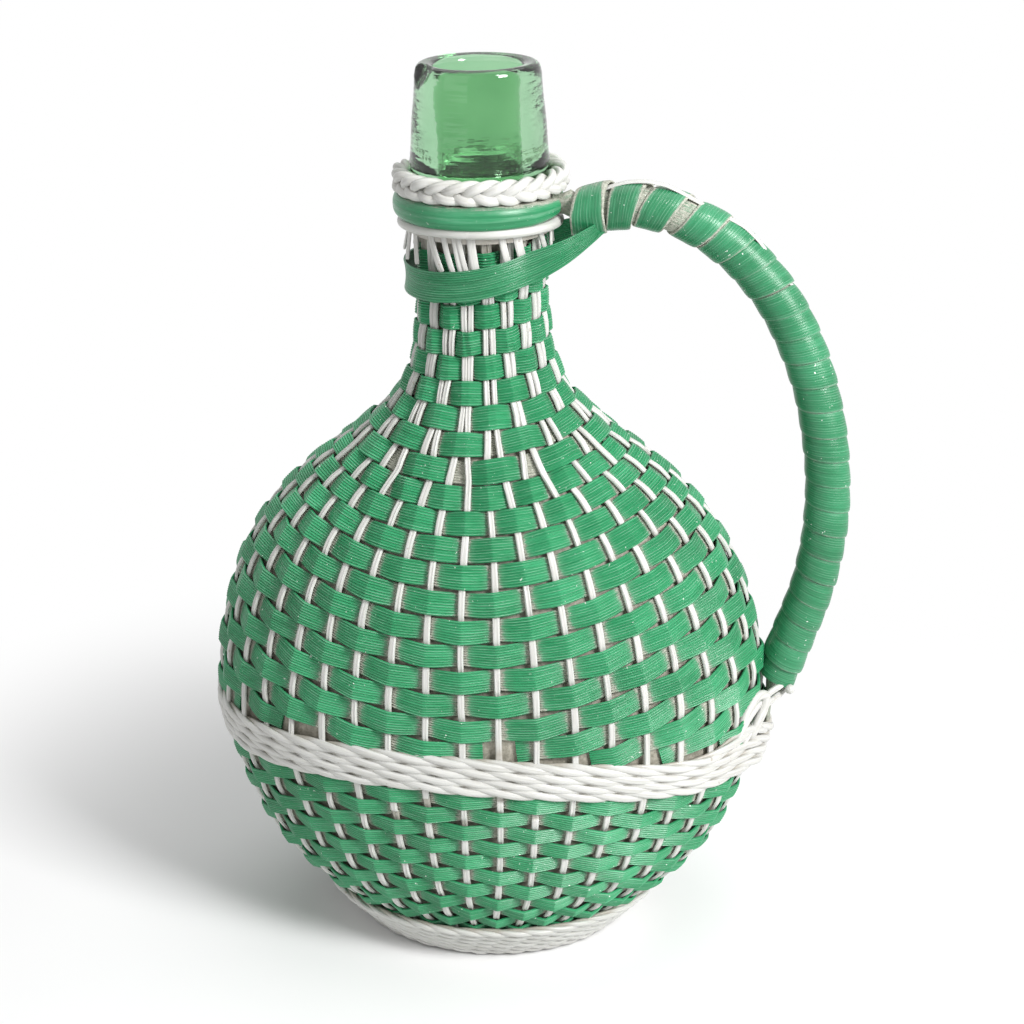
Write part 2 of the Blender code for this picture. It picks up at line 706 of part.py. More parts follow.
def neck_hoop(material):
    """Flat band with a rounded face, open where the handle's root passes."""
    start = QUARTER + HOOP_GAP_HALF_ANGLE
    sweep = TURN - 2 * HOOP_GAP_HALF_ANGLE
    shoulder = HOOP_THICKNESS * HOOP_SHOULDER_SHARE
    middle = (HOOP_TOP_HEIGHT + HOOP_BOTTOM_HEIGHT) / 2
    sections = []
    for step in range(HOOP_STEPS + 1):
        azimuth = start + sweep * step / HOOP_STEPS
        sections.append([round_point(azimuth, radius, height) for radius, height in (
            (HOOP_INNER_RADIUS, HOOP_BOTTOM_HEIGHT),
            (HOOP_INNER_RADIUS + shoulder, HOOP_BOTTOM_HEIGHT),
            (HOOP_INNER_RADIUS + HOOP_THICKNESS, middle),
            (HOOP_INNER_RADIUS + shoulder, HOOP_TOP_HEIGHT),
            (HOOP_INNER_RADIUS, HOOP_TOP_HEIGHT),
        )])
    loft("neck_hoop", sections, material)


def neck_plait(material):
    """Three canes plaited into a collar under the finish."""
    count = PLAIT_PERIODS * PLAIT_POINTS
    for strand in range(PLAIT_STRANDS):
        points = []
        for step in range(count):
            phase = TURN * ((step + 0.5) / PLAIT_POINTS + strand / PLAIT_STRANDS)
            radius = PLAIT_RADIUS + PLAIT_HALF_DEPTH * math.sin(2 * phase)
            height = PLAIT_HEIGHT + PLAIT_HALF_HEIGHT * math.sin(phase)
            points.append(round_point(TURN * step / count, radius, height))
        cane(f"neck_plait_{strand + 1}", points, PLAIT_CANE_RADIUS, material, closed=True)


def neck_sling(material):
    """Ribbon from the handle's far side round the neck to its near side."""
    side = (HANDLE_CORE_RADIUS + WRAP_GAP + WRAP_THICKNESS) * math.cos(corner_angle(0)) + CANE_GAP
    end_height = HANDLE_TOP_HEIGHT - SLING_END_DROP
    end_narrowing = (SLING_WIDTH - SLING_END_WIDTH) / 2

    def strip(centre, outward, half_height):
        inner = centre
        outer = centre + outward * SLING_THICKNESS
        up = Vector((0, 0, half_height))
        return [inner - up, outer - up, outer + up, inner + up]

    start = Vector((SLING_END_REACH, side, end_height))
    sections = [strip(start, Vector((0, 1, 0)), SLING_WIDTH / 2 - end_narrowing)]
    first = QUARTER + SLING_NECK_HALF_ANGLE
    sweep = TURN - 2 * SLING_NECK_HALF_ANGLE
    for step in range(SLING_STEPS + 1):
        azimuth = first + sweep * step / SLING_STEPS
        lift = SLING_RISE * (1 + math.sin(azimuth)) ** 2
        centre = round_point(azimuth, SLING_RADIUS, SLING_LOW_HEIGHT + lift)
        outward = Vector((math.sin(azimuth), -math.cos(azimuth), 0))
        sections.append(strip(centre, outward, SLING_WIDTH / 2))
    end = Vector((SLING_END_REACH, -side, end_height))
    sections.append(strip(end, Vector((0, -1, 0)), SLING_WIDTH / 2 - end_narrowing))
    loft("neck_sling", sections, material)


def handle_table():
    """Centre line of the handle: lengths, reaches and heights, close together."""
    shares = np.array(HANDLE_PATH_SHARES)
    reaches = HANDLE_START_REACH + shares[:, 0] * (HANDLE_REACH - HANDLE_START_REACH)
    heights = HANDLE_FOOT_HEIGHT + shares[:, 1] * (HANDLE_TOP_HEIGHT - HANDLE_FOOT_HEIGHT)
    chords = np.concatenate(([0], np.cumsum(np.hypot(np.diff(reaches), np.diff(heights)))))
    fine = np.linspace(0, chords[-1], TABLE_STEPS)
    reach = spline_through(chords, reaches, fine)
    height = spline_through(chords, heights, fine)
    length = np.concatenate(([0], np.cumsum(np.hypot(np.diff(reach), np.diff(height)))))
    return length, reach, height


def spline_through(knots, values, wanted):
    """Cubic curve through the points, with the slope at each point taken from its neighbours."""
    tangents = np.gradient(values, knots)
    cell = np.clip(np.searchsorted(knots, wanted) - 1, 0, len(knots) - 2)
    step = knots[cell + 1] - knots[cell]
    t = (wanted - knots[cell]) / step
    rise = values[cell + 1] - values[cell]
    start = step * tangents[cell]
    end = step * tangents[cell + 1]
    return values[cell] + t * start + t * t * (3 * rise - 2 * start - end) + t ** 3 * (start + end - 2 * rise)


HANDLE_LENGTHS, HANDLE_REACHES, HANDLE_HEIGHTS = handle_table()
HANDLE_LENGTH = float(HANDLE_LENGTHS[-1])


def handle_frame(length):
    """Centre and outward direction of the handle at a length along it."""
    centre = Vector((float(np.interp(length, HANDLE_LENGTHS, HANDLE_REACHES)), 0,
                     float(np.interp(length, HANDLE_LENGTHS, HANDLE_HEIGHTS))))
    nudge = HANDLE_LENGTH / TABLE_STEPS
    low = max(length - nudge, 0)
    high = min(length + nudge, HANDLE_LENGTH)
    along = Vector((float(np.interp(high, HANDLE_LENGTHS, HANDLE_REACHES)
                          - np.interp(low, HANDLE_LENGTHS, HANDLE_REACHES)), 0,
                    float(np.interp(high, HANDLE_LENGTHS, HANDLE_HEIGHTS)
                          - np.interp(low, HANDLE_LENGTHS, HANDLE_HEIGHTS)))).normalized()
    return centre, Vector((-along.z, 0, along.x))


def handle_radius(length):
    """Core radius: full along the grip, slimmer at the foot."""
    taper = HANDLE_LENGTH * HANDLE_FOOT_STATIONS / HANDLE_STATIONS
    left = min((HANDLE_LENGTH - length) / taper, 1.0)
    return HANDLE_FOOT_RADIUS + (HANDLE_CORE_RADIUS - HANDLE_FOOT_RADIUS) * left


def handle_point(length, angle, radius):
    """Point round the handle: angle 0 is its outer side."""
    centre, outward = handle_frame(length)
    return centre + outward * (radius * math.cos(angle)) + Vector((0, radius * math.sin(angle), 0))


def corner_angle(index):
    return TURN * (index + 0.5) / HANDLE_SIDES


def handle_core(material):
    """Bent core with a flat for the spine, a slim root at the neck and a tongue at the foot."""
    def section(length, radius):
        points = [handle_point(length, corner_angle(i), radius) for i in range(HANDLE_SIDES)]
        centre, outward = handle_frame(length)
        flat = min(radius * math.cos(corner_angle(0)), HANDLE_FLAT * radius / HANDLE_CORE_RADIUS)
        for index in (0, HANDLE_SIDES - 1):
            across = points[index].y
            points[index] = centre + outward * flat + Vector((0, across, 0))
        return points

    sections = []
    for reach in HANDLE_ROOT_REACHES:
        root = []
        for index in range(HANDLE_SIDES):
            angle = corner_angle(index)
            root.append(Vector((reach, HANDLE_ROOT_RADIUS * math.sin(angle),
                                HANDLE_ROOT_HEIGHT + HANDLE_ROOT_RADIUS * math.cos(angle))))
        sections.append(root)
    for station in range(HANDLE_STATIONS + 1):
        length = HANDLE_LENGTH * station / HANDLE_STATIONS
        sections.append(section(length, handle_radius(length)))
    cover = OVER_STAND + RIBBON_THICKNESS + CANE_GAP
    for height in (HANDLE_TONGUE_TOP, HANDLE_TONGUE_BOTTOM):
        middle = half_width(height) + cover + HANDLE_TONGUE_THICKNESS / 2
        tongue = []
        for index in range(HANDLE_SIDES):
            angle = corner_angle(index)
            tongue.append(Vector((middle + HANDLE_TONGUE_THICKNESS / 2 * math.cos(angle),
                                  HANDLE_TONGUE_WIDTH / 2 * math.sin(angle), height)))
        sections.append(tongue)
    loft("handle_core", sections, material)


def handle_spine(material):
    """Flat cane in the core's outer flat."""
    sections = []
    for station in range(1, HANDLE_STATIONS - HANDLE_FOOT_STATIONS + 1):
        length = HANDLE_LENGTH * station / HANDLE_STATIONS
        centre, outward = handle_frame(length)
        across = Vector((0, SPINE_WIDTH / 2, 0))
        inner = centre + outward * (HANDLE_FLAT + SPINE_GAP)
        outer = inner + outward * SPINE_THICKNESS
        sections.append((inner - across, inner + across, outer + across, outer - across))
    loft("handle_spine", sections, material)


def handle_wrap(material):
    """One unbroken ribbon wound round the handle, its turns side by side."""
    steps = WRAP_TURNS * HANDLE_SIDES
    run = HANDLE_LENGTH - WRAP_START - WRAP_END
    pitch = run / (WRAP_TURNS + 1)
    width = pitch - WRAP_SPACE
    sections = []
    lower_edges = []
    upper_edges = []
    for step in range(steps + 1):
        angle = corner_angle(step)
        low = WRAP_START + pitch * step / HANDLE_SIDES
        high = low + width
        section = []
        for length, layer in ((low, 0), (high, 0), (high, 1), (low, 1)):
            radius = handle_radius(length) + WRAP_GAP + layer * WRAP_THICKNESS
            section.append(handle_point(length, angle, radius))
        sections.append(section)
        lower_edges.append(section[0])
        upper_edges.append(section[1])
    gaps = []
    for step in range(steps + 1 - HANDLE_SIDES):
        gaps.append((lower_edges[step + HANDLE_SIDES] - upper_edges[step]).length)
    print(f"handle wrap: least gap to itself {min(gaps) * 1000:.2f} mm over {WRAP_TURNS} turns")
    loft("handle_wrap", sections, material)


def handle_tie(material):
    """Cane that laces the handle's tongue to the waist, with its ends turned up."""
    seat = height_at(STAKES // 4, band_middle(STAKES // 4, BAND_ROWS - 1), BAND_CANE_RADIUS + TIE_GAP)
    seat += TIE_CANE_RADIUS
    stand = OVER_STAND + RIBBON_THICKNESS + TIE_GAP + TIE_CANE_RADIUS
    hook = [on_body(azimuth, seat + rise, stand) for azimuth, rise in zip(TIE_HOOK_AZIMUTHS, TIE_HOOK_RISES)]
    reach = half_width(seat) + OVER_STAND + RIBBON_THICKNESS + CANE_GAP + HANDLE_TONGUE_THICKNESS
    reach += TIE_GAP + 2 * TIE_CANE_RADIUS
    half = HANDLE_TONGUE_WIDTH / 2
    near = hook + [Vector((reach, -half, seat))]
    far = [Vector((point.x, -point.y, point.z)) for point in reversed(near)]
    cane("handle_tie", near + far, TIE_CANE_RADIUS, material)


def build():
    clear_scene()
    for name in (COLLECTION_NAME, CUTTER_COLLECTION_NAME):
        if name not in bpy.data.collections:
            bpy.context.scene.collection.children.link(bpy.data.collections.new(name))
    frame = bpy.data.objects.new(FRAME_NAME, None)
    bpy.data.collections[COLLECTION_NAME].objects.link(frame)
    glass = new_material("green_glass", (0.16, 0.48, 0.20), 0.05, transmission=0.9)
    green = new_material("green_ribbon", (0.06, 0.36, 0.14), 0.32)
    white = new_material("white_cane", (0.78, 0.76, 0.71), 0.42)
    core = new_material("handle_cane", (0.55, 0.50, 0.42), 0.7)
    glass_bottle(glass)
    base_disc(white)
    warp(white)
    upper_weft(green)
    lower_weft(green)
    waist_band(white)
    foot_border(white)
    neck_fringe(white)
    neck_ring(white)
    neck_hoop(green)
    neck_plait(white)
    neck_sling(green)
    handle_core(core)
    handle_spine(white)
    handle_wrap(green)
    handle_tie(white)


build()
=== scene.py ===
"""Demijohn covered in woven plastic cane: its visible pieces, materials, floor, light and camera.

Metres, +Z up. An azimuth of 0 looks out along -Y and a quarter turn points along +X.
A place round the bottle is also counted in stakes, from 0 to 40 for a whole turn.
"""
import math

import bmesh
import bpy
import numpy as np
from mathutils import Matrix, Vector


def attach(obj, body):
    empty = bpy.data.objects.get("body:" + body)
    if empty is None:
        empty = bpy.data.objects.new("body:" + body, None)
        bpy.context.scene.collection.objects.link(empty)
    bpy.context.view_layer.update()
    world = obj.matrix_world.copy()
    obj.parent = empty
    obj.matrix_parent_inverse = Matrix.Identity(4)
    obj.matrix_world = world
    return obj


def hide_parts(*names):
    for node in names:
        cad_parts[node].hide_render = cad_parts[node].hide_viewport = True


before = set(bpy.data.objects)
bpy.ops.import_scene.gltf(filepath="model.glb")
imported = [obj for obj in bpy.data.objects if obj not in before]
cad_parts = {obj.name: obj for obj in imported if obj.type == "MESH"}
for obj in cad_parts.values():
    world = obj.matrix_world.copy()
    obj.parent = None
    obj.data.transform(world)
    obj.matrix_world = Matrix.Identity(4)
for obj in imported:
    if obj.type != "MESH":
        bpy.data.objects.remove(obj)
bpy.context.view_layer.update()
rng = np.random.default_rng(7)
TURN = 2 * math.pi
UP = np.array((0.0, 0.0, 1.0))

# Glass
HEIGHT = 0.400
HALF_WIDTH = 0.1220
HALF_DEPTH = 0.0774
WALL = 0.0034
UNDERSIDE = 0.0035
NECK_RADIUS = 0.02365
NECK_FOOT = 0.300
BORE_RADIUS = 0.0180
FINISH_BASE_RADIUS = 0.0293
FINISH_TOP_RADIUS = 0.0256
OUTLINE = np.array((
    (0.000, 0.319, 0.369), (0.015, 0.375, 0.434), (0.056, 0.492, 0.568), (0.110, 0.671, 0.753),
    (0.164, 0.804, 0.859), (0.231, 0.898, 0.920), (0.298, 0.964, 0.974), (0.366, 1.000, 1.000),
    (0.433, 0.994, 0.974), (0.508, 0.950, 0.935), (0.582, 0.878, 0.875), (0.663, 0.739, 0.732),
    (0.730, 0.552, 0.537), (0.798, 0.289, 0.375), (0.865, 0.093, 0.163), (0.933, 0.022, 0.040),
    (1.000, 0.000, 0.000)))

# Weave
GROUPS = 20
STAKES = 40
GROUP_SHIFT = -0.3
PART_SHARE = 0.780
MEET_SHARE = 0.860
NECK_SPACING = 0.0025
UNDER = 0.0004
OVER = 0.0041
UPPER_START = 0.3096
UPPER_FIRST = -0.0117
UPPER_PITCH = 0.01105
UPPER_RISE = 0.0020
UPPER_WIDTH = 0.0104
PAIRED_ROWS = 9
FULL_ROWS = 19
PART_ROWS = (
    (19, "right", 3, 20), (19, "left", 24, 41), (20, "right", 5, 17), (20, "left", 27, 35),
    (21, "right", 7, 15), (21, "left", 29, 33), (22, "right", 9, 13))
LOWER_START = 0.0160
AZIMUTH_HEIGHT = 0.1
LOWER_FIRST = 0.0057
LOWER_PITCH = 0.0083
LOWER_WIDTH = 0.0078
LOWER_ROWS = 11
BAND_ROWS = 4
BAND_PITCH = 0.0041
BAND_CENTRE = 0.1010
BAND_RISE = -0.0050
STEPS = np.array((0.0, 0.03, 0.12, 0.3, 0.5, 0.7, 0.88, 0.97))


def cubic(values, cell, t, start, end):
    """Cubic from each cell's first value to its last, leaving and arriving at the given slopes."""
    rise = values[cell + 1] - values[cell]
    bend = start + end - 2 * rise
    return values[cell] + t * start + t * t * (3 * rise - 2 * start - end) + t ** 3 * bend


def smooth_curve(knots, values, wanted):
    """Monotone cubic curve through the knots."""
    steps = np.diff(knots)
    slopes = np.diff(values) / steps
    product = slopes[:-1] * slopes[1:]
    total = np.where(product > 0, slopes[:-1] + slopes[1:], 1.0)
    inner = np.where(product > 0, 2 * product / total, 0.0)
    tangents = np.concatenate(([slopes[0]], inner, [slopes[-1]]))
    cell = np.clip(np.searchsorted(knots, wanted) - 1, 0, len(steps) - 1)
    t = np.clip((wanted - knots[cell]) / steps[cell], 0, 1)
    return cubic(values, cell, t, steps[cell] * tangents[cell], steps[cell] * tangents[cell + 1])


def through(knots, values, wanted):
    """Smooth curve through points, with each slope taken from the neighbours."""
    tangents = np.gradient(values, knots, axis=0)
    cell = np.clip(np.searchsorted(knots, wanted) - 1, 0, len(knots) - 2)
    step = (knots[cell + 1] - knots[cell])[:, None]
    t = (wanted - knots[cell])[:, None] / step
    return cubic(values, cell, t, step * tangents[cell], step * tangents[cell + 1])


def lengths_along(run):
    """Length from the first place to each place of a run."""
    return np.concatenate(([0], np.cumsum(np.linalg.norm(np.diff(run, axis=0), axis=1))))


def path(points, count):
    """A smooth run of places through given points."""
    knots = lengths_along(points)
    return through(knots, points, np.linspace(0, knots[-1], count))


def unit(vectors):
    return vectors / np.maximum(np.linalg.norm(vectors, axis=-1, keepdims=True), 1e-9)


def directions(run, closed=False):
    """Direction of a run at each of its places."""
    if closed:
        return unit(np.roll(run, -1, axis=0) - np.roll(run, 1, axis=0))
    return unit(np.gradient(run, axis=0))


HEIGHTS = np.linspace(UNDERSIDE, HEIGHT, 800)
SHARES = np.clip((HEIGHTS - UNDERSIDE) / (NECK_FOOT - UNDERSIDE), 0, 1)
WIDTHS = NECK_RADIUS + (HALF_WIDTH - NECK_RADIUS) * smooth_curve(OUTLINE[:, 0], OUTLINE[:, 1], SHARES)
DEPTHS = NECK_RADIUS + (HALF_DEPTH - NECK_RADIUS) * smooth_curve(OUTLINE[:, 0], OUTLINE[:, 2], SHARES)
WIDTH_SLOPES = np.gradient(WIDTHS, HEIGHTS)
DEPTH_SLOPES = np.gradient(DEPTHS, HEIGHTS)


def body_size(height):
    """Half width and half depth of the glass at a height."""
    return np.interp(height, HEIGHTS, WIDTHS), np.interp(height, HEIGHTS, DEPTHS)


def on_body(azimuth, height):
    """Place on the glass, and its directions along a level ring, up and outward."""
    azimuth, height = np.broadcast_arrays(azimuth, height)
    width, depth = body_size(height)
    width_slope = np.interp(height, HEIGHTS, WIDTH_SLOPES)
    depth_slope = np.interp(height, HEIGHTS, DEPTH_SLOPES)
    sine = np.sin(azimuth)
    cosine = np.cos(azimuth)
    place = np.stack((width * sine, -depth * cosine, height), -1)
    along = unit(np.stack((width * cosine, depth * sine, 0 * height), -1))
    up = unit(np.stack((width_slope * sine, -depth_slope * cosine, 1 + 0 * height), -1))
    out = unit(np.cross(along, up))
    return place, along, up, out


def length_table(azimuth):
    """Lengths along the glass from its underside to each of HEIGHTS, a row for each azimuth."""
    sine = np.abs(np.sin(azimuth))[:, None]
    cosine = np.abs(np.cos(azimuth))[:, None]
    runs = np.hypot(np.diff(WIDTHS) * sine, np.diff(DEPTHS) * cosine)
    steps = np.hypot(runs, np.diff(HEIGHTS))
    return np.concatenate((np.zeros((len(azimuth), 1)), np.cumsum(steps, axis=1)), axis=1)


def height_along(azimuth, start, length):
    """Heights reached by going lengths up along the glass from a start height."""
    found = []
    for table, step in zip(length_table(azimuth), length):
        found.append(np.interp(np.interp(start, HEIGHTS, table) + step, table, HEIGHTS))
    return np.array(found)


def even_azimuth(share):
    """Azimuth at a share of the way round the widest ring of the body."""
    angles = np.linspace(0, TURN, 2000)
    runs = np.hypot(HALF_WIDTH * np.cos(angles), HALF_DEPTH * np.sin(angles))
    length = np.concatenate(([0], np.cumsum((runs[1:] + runs[:-1]) / 2)))
    whole = np.floor(share)
    return whole * TURN + np.interp((share - whole) * length[-1], length, angles)


BODY_AZIMUTHS = np.array([
    even_azimuth((n // 2 + GROUP_SHIFT) / GROUPS + (n % 2 - 0.5) / STAKES) for n in range(STAKES)])


def whole_stake_azimuth(number, height):
    """Azimuth of a whole-numbered stake at a height. Stakes pair up toward the neck."""
    turns, stake = np.divmod(number, STAKES)
    low = UNDERSIDE + PART_SHARE * (NECK_FOOT - UNDERSIDE)
    high = UNDERSIDE + MEET_SHARE * (NECK_FOOT - UNDERSIDE)
    closing = np.clip((height - low) / (high - low), 0, 1)
    spacing = NECK_SPACING / np.interp(height, HEIGHTS, WIDTHS)
    paired = TURN * (stake // 2 + GROUP_SHIFT) / GROUPS + (stake % 2 - 0.5) * spacing
    return turns * TURN + BODY_AZIMUTHS[stake] * (1 - closing) + paired * closing


def stake_azimuth(place, height):
    """Azimuth of a place counted in stakes, at a height."""
    number = np.floor(place).astype(int)
    share = place - number
    before = whole_stake_azimuth(number, height)
    return before + share * (whole_stake_azimuth(number + 1, height) - before)


def wander(count, places, size):
    """Small seeded unevenness that runs on smoothly round the bottle."""
    knots = rng.normal(0, size, count)
    knots = np.append(knots, knots[0])
    return np.interp(np.mod(places, STAKES), np.linspace(0, STAKES, count + 1), knots)


class Skin:
    """Gathers tubes into one mesh, with values at its points for the materials."""

    def __init__(self):
        self.points = []
        self.faces = []
        self.layers = {"along": [], "across": [], "dust": []}
        self.count = 0

    def add(self, points, closed=False, along=0.0, across=0.0, dust=0.0):
        rows, columns = points.shape[:2]
        i = np.arange(rows if closed else rows - 1)[:, None]
        j = np.arange(columns)[None]
        after = (i + 1) % rows
        side = (j + 1) % columns
        quads = np.stack((
            i * columns + j, i * columns + side, after * columns + side, after * columns + j), -1)
        self.faces.extend((quads.reshape(-1, 4) + self.count).tolist())
        if not closed:
            self.faces.append([self.count + k for k in range(columns)][::-1])
            self.faces.append([self.count + (rows - 1) * columns + k for k in range(columns)])
        self.points.append(points.reshape(-1, 3))
        for name, values in (("along", along), ("across", across), ("dust", dust)):
            self.layers[name].append(np.broadcast_to(values, (rows, columns)).reshape(-1).astype(float))
        self.count += rows * columns

    def finish(self, name, material, sharp=50, nodes=()):
        """Make the piece, which stands for the nodes, or else for the one of its own name."""
        mesh = bpy.data.meshes.new(name + "_fine")
        mesh.from_pydata(np.concatenate(self.points).tolist(), [], self.faces)
        for layer, values in self.layers.items():
            attribute = mesh.attributes.new(layer, "FLOAT", "POINT")
            attribute.data.foreach_set("value", np.concatenate(values))
        bm = bmesh.new()
        bm.from_mesh(mesh)
        bmesh.ops.recalc_face_normals(bm, faces=bm.faces)
        bm.to_mesh(mesh)
        bm.free()
        mesh.materials.append(material)
        mesh.shade_smooth()
        mesh.set_sharp_from_angle(angle=math.radians(sharp))
        piece = bpy.data.objects.new(name + "_fine", mesh)
        bpy.context.scene.collection.objects.link(piece)
        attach(piece, "root")
        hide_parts(*(nodes or (name,)))


def lay(place, across, out, profile):
    """Points of a section, given across and outward, set at each place."""
    profile = np.broadcast_to(profile, (len(place),) + profile.shape[-2:])
    return place[:, None] + profile[..., :1] * across[:, None] + profile[..., 1:] * out[:, None]


def around(sides):
    """Angles of the corners of a section."""
    return np.arange(sides) * TURN / sides


def rod(skin, places, outward, radius, closed=False, sides=12, dust=0.0, flat=1.0):
    """Round cane along places, dustier on its inner side."""
    tangent = directions(places, closed)
    outward = np.broadcast_to(outward, places.shape)
    across = unit(np.cross(outward, tangent))
    out = np.cross(tangent, across)
    radius = np.broadcast_to(radius, (len(places),))
    angles = around(sides)
    shape = np.stack((flat * np.cos(angles), np.sin(angles)), -1)[None] * radius[:, None, None]
    dust = np.broadcast_to(dust, (len(places),))
    hidden = 0.5 - 0.5 * np.sin(angles)
    grime = np.clip(dust[:, None] + 0.35 * hidden[None] ** 2, 0, 1)
    length = lengths_along(places)[:, None]
    skin.add(lay(places, across, out, shape), closed, length, np.linspace(-1, 1, sides)[None], grime)


# Shaders
PIECE_SHIFT_SCALE = 40.0


def new_material(name):
    material = bpy.data.materials.new(name)
    material.use_nodes = True
    tree = material.node_tree
    return material, tree, tree.nodes["Principled BSDF"]


def set_inputs(tree, made, inputs):
    for key, value in inputs.items():
        if isinstance(value, bpy.types.NodeSocket):
            tree.links.new(value, made.inputs[key])
        else:
            made.inputs[key].default_value = value


def node(tree, kind, inputs=None, **settings):
    made = tree.nodes.new(kind)
    for key, value in settings.items():
        setattr(made, key, value)
    set_inputs(tree, made, inputs or {})
    return made


def layer(tree, name):
    return node(tree, "ShaderNodeAttribute", attribute_name=name).outputs["Fac"]


def math_node(tree, operation, first, second=0.0):
    return node(tree, "ShaderNodeMath", {0: first, 1: second}, operation=operation).outputs[0]


# The calls below take their node tree from the socket that they get first
def times(first, second):
    return math_node(first.id_data, "MULTIPLY", first, second)


def plus(first, second):
    return math_node(first.id_data, "ADD", first, second)


def noise(vector, scale, detail, roughness):
    return node(vector.id_data, "ShaderNodeTexNoise", {
        "Vector": vector, "Scale": scale, "Detail": detail, "Roughness": roughness}).outputs["Fac"]


def span(value, low, high, first=0.0, last=1.0):
    """Value eased from first to last as it goes from low to high."""
    return node(value.id_data, "ShaderNodeMapRange", {
        "Value": value, "From Min": low, "From Max": high, "To Min": first, "To Max": last},
        interpolation_type="SMOOTHSTEP").outputs["Result"]


def ramp(value, stops):
    made = node(value.id_data, "ShaderNodeValToRGB", {"Fac": value})
    elements = made.color_ramp.elements
    while len(elements) < len(stops):
        elements.new(0.5)
    for element, (position, colour) in zip(elements, stops):
        element.position = position
        element.color = (*colour, 1.0)
    return made.outputs["Color"]


def mix(factor, first, second):
    inputs = {0: factor, 6: first, 7: second}
    return node(factor.id_data, "ShaderNodeMix", inputs, data_type="RGBA").outputs[2]


def bump(height, distance, strength):
    return node(height.id_data, "ShaderNodeBump", {
        "Height": height, "Distance": distance, "Strength": strength}).outputs["Normal"]


def object_place(tree):
    return node(tree, "ShaderNodeTexCoord").outputs["Object"]


def strand_place(tree, along_scale, across_scale):
    """Texture place that follows a ribbon or cane, shifted from piece to piece."""
    along = times(layer(tree, "along"), along_scale)
    across = times(layer(tree, "across"), across_scale)
    place = node(tree, "ShaderNodeSeparateXYZ", {0: object_place(tree)})
    height = times(place.outputs["Z"], PIECE_SHIFT_SCALE)
    return node(tree, "ShaderNodeCombineXYZ", {0: along, 1: across, 2: height}).outputs[0]


DUST_SHADES = ((0.3, (0.20, 0.215, 0.165)), (0.62, (0.50, 0.50, 0.43)))
RIBBON_SHADES = (
    (0.30, (0.014, 0.160, 0.062)), (0.50, (0.024, 0.255, 0.103)), (0.66, (0.045, 0.345, 0.155)))
# Pale colour of the rib crests: partly wear, partly painted highlight.
RIBBON_CREST_WEAR_AND_HIGHLIGHT = (0.34, 0.60, 0.44, 1.0)
# Pale haze over the ribbon: partly dust, partly painted sheen.
RIBBON_DUST_HAZE_AND_SHEEN = (0.30, 0.48, 0.36, 1.0)
RIBBON_SPECK = (0.74, 0.78, 0.72, 1.0)
CANE_SHADES = ((0.30, (0.46, 0.455, 0.425)), (0.62, (0.61, 0.61, 0.585)))
CANE_DIRT = (0.34, 0.31, 0.255, 1.0)
CANE_FLECK = (0.30, 0.25, 0.19, 1.0)
GLASS_SHADES = ((0.35, (0.31, 0.60, 0.35)), (0.65, (0.39, 0.68, 0.42)))
SOIL_SHADES = ((0.30, (0.20, 0.19, 0.15)), (0.66, (0.46, 0.43, 0.36)))
GLASS_BARE_HEIGHT = 0.352
GLASS_COVERED_HEIGHT = 0.346


def ribbon_material(name, ribs, gloss=0.27, dust_gain=1.0, depth=1.0, rib_height=0.5):
    """Ribbed plastic ribbon: pale crests, partly wear and partly painted highlight, a pale haze, partly dust
    and partly painted sheen, dust combed along the ribs, and specks.
    """
    material, tree, shader = new_material(name)
    place = object_place(tree)
    streaks = noise(strand_place(tree, 22.0, 7.0), 1.0, 5.0, 0.6)
    patches = noise(place, 26.0, 3.0, 0.55)
    tone = plus(times(streaks, 0.5), times(patches, 0.5))
    shades = [(stop, tuple(part * depth for part in shade)) for stop, shade in RIBBON_SHADES]
    wave = math_node(tree, "COSINE", times(layer(tree, "across"), math.pi * ribs))
    crest = span(wave, 0.70, 0.98)
    # Pale rib crests in patches: partly wear and partly painted highlight, stronger on higher ribs.
    wear_and_highlight_patches = span(noise(strand_place(tree, 60.0, 9.0), 1.0, 4.0, 0.7), 0.40, 0.62)
    crest_wear_and_highlight = times(times(crest, wear_and_highlight_patches), 0.22 + 0.80 * rib_height)
    colour = mix(crest_wear_and_highlight, ramp(tone, shades), RIBBON_CREST_WEAR_AND_HIGHLIGHT)
    comb = noise(strand_place(tree, 110.0, 22.0), 1.0, 4.0, 0.7)
    grain = noise(place, 420.0, 3.0, 0.7)
    reach = plus(times(layer(tree, "dust"), 1.25 * dust_gain), times(comb, 1.05))
    reach = plus(reach, times(grain, 0.35))
    dusty = span(reach, 1.22, 1.52)
    # Pale haze: partly dust, partly painted sheen.
    dust_haze_and_sheen = span(reach, 0.80, 1.45, 0.0, 0.26)
    dust = ramp(noise(place, 900.0, 3.0, 0.7), DUST_SHADES)
    colour = mix(dusty, mix(dust_haze_and_sheen, colour, RIBBON_DUST_HAZE_AND_SHEEN), dust)
    fleck = noise(place, 760.0, 1.0, 0.4)
    where = noise(place, 60.0, 2.0, 0.5)
    specks = times(span(fleck, 0.735, 0.77), span(where, 0.46, 0.60))
    rough = plus(span(streaks, 0.3, 0.7, gloss, gloss + 0.16), times(dusty, 0.45))
    relief = plus(times(comb, 0.5), times(times(grain, dusty), 1.4))
    relief = plus(relief, times(wave, rib_height))
    set_inputs(tree, shader, {
        "Base Color": mix(specks, colour, RIBBON_SPECK), "Roughness": rough,
        "Normal": bump(relief, 0.00035, 0.6)})
    return material


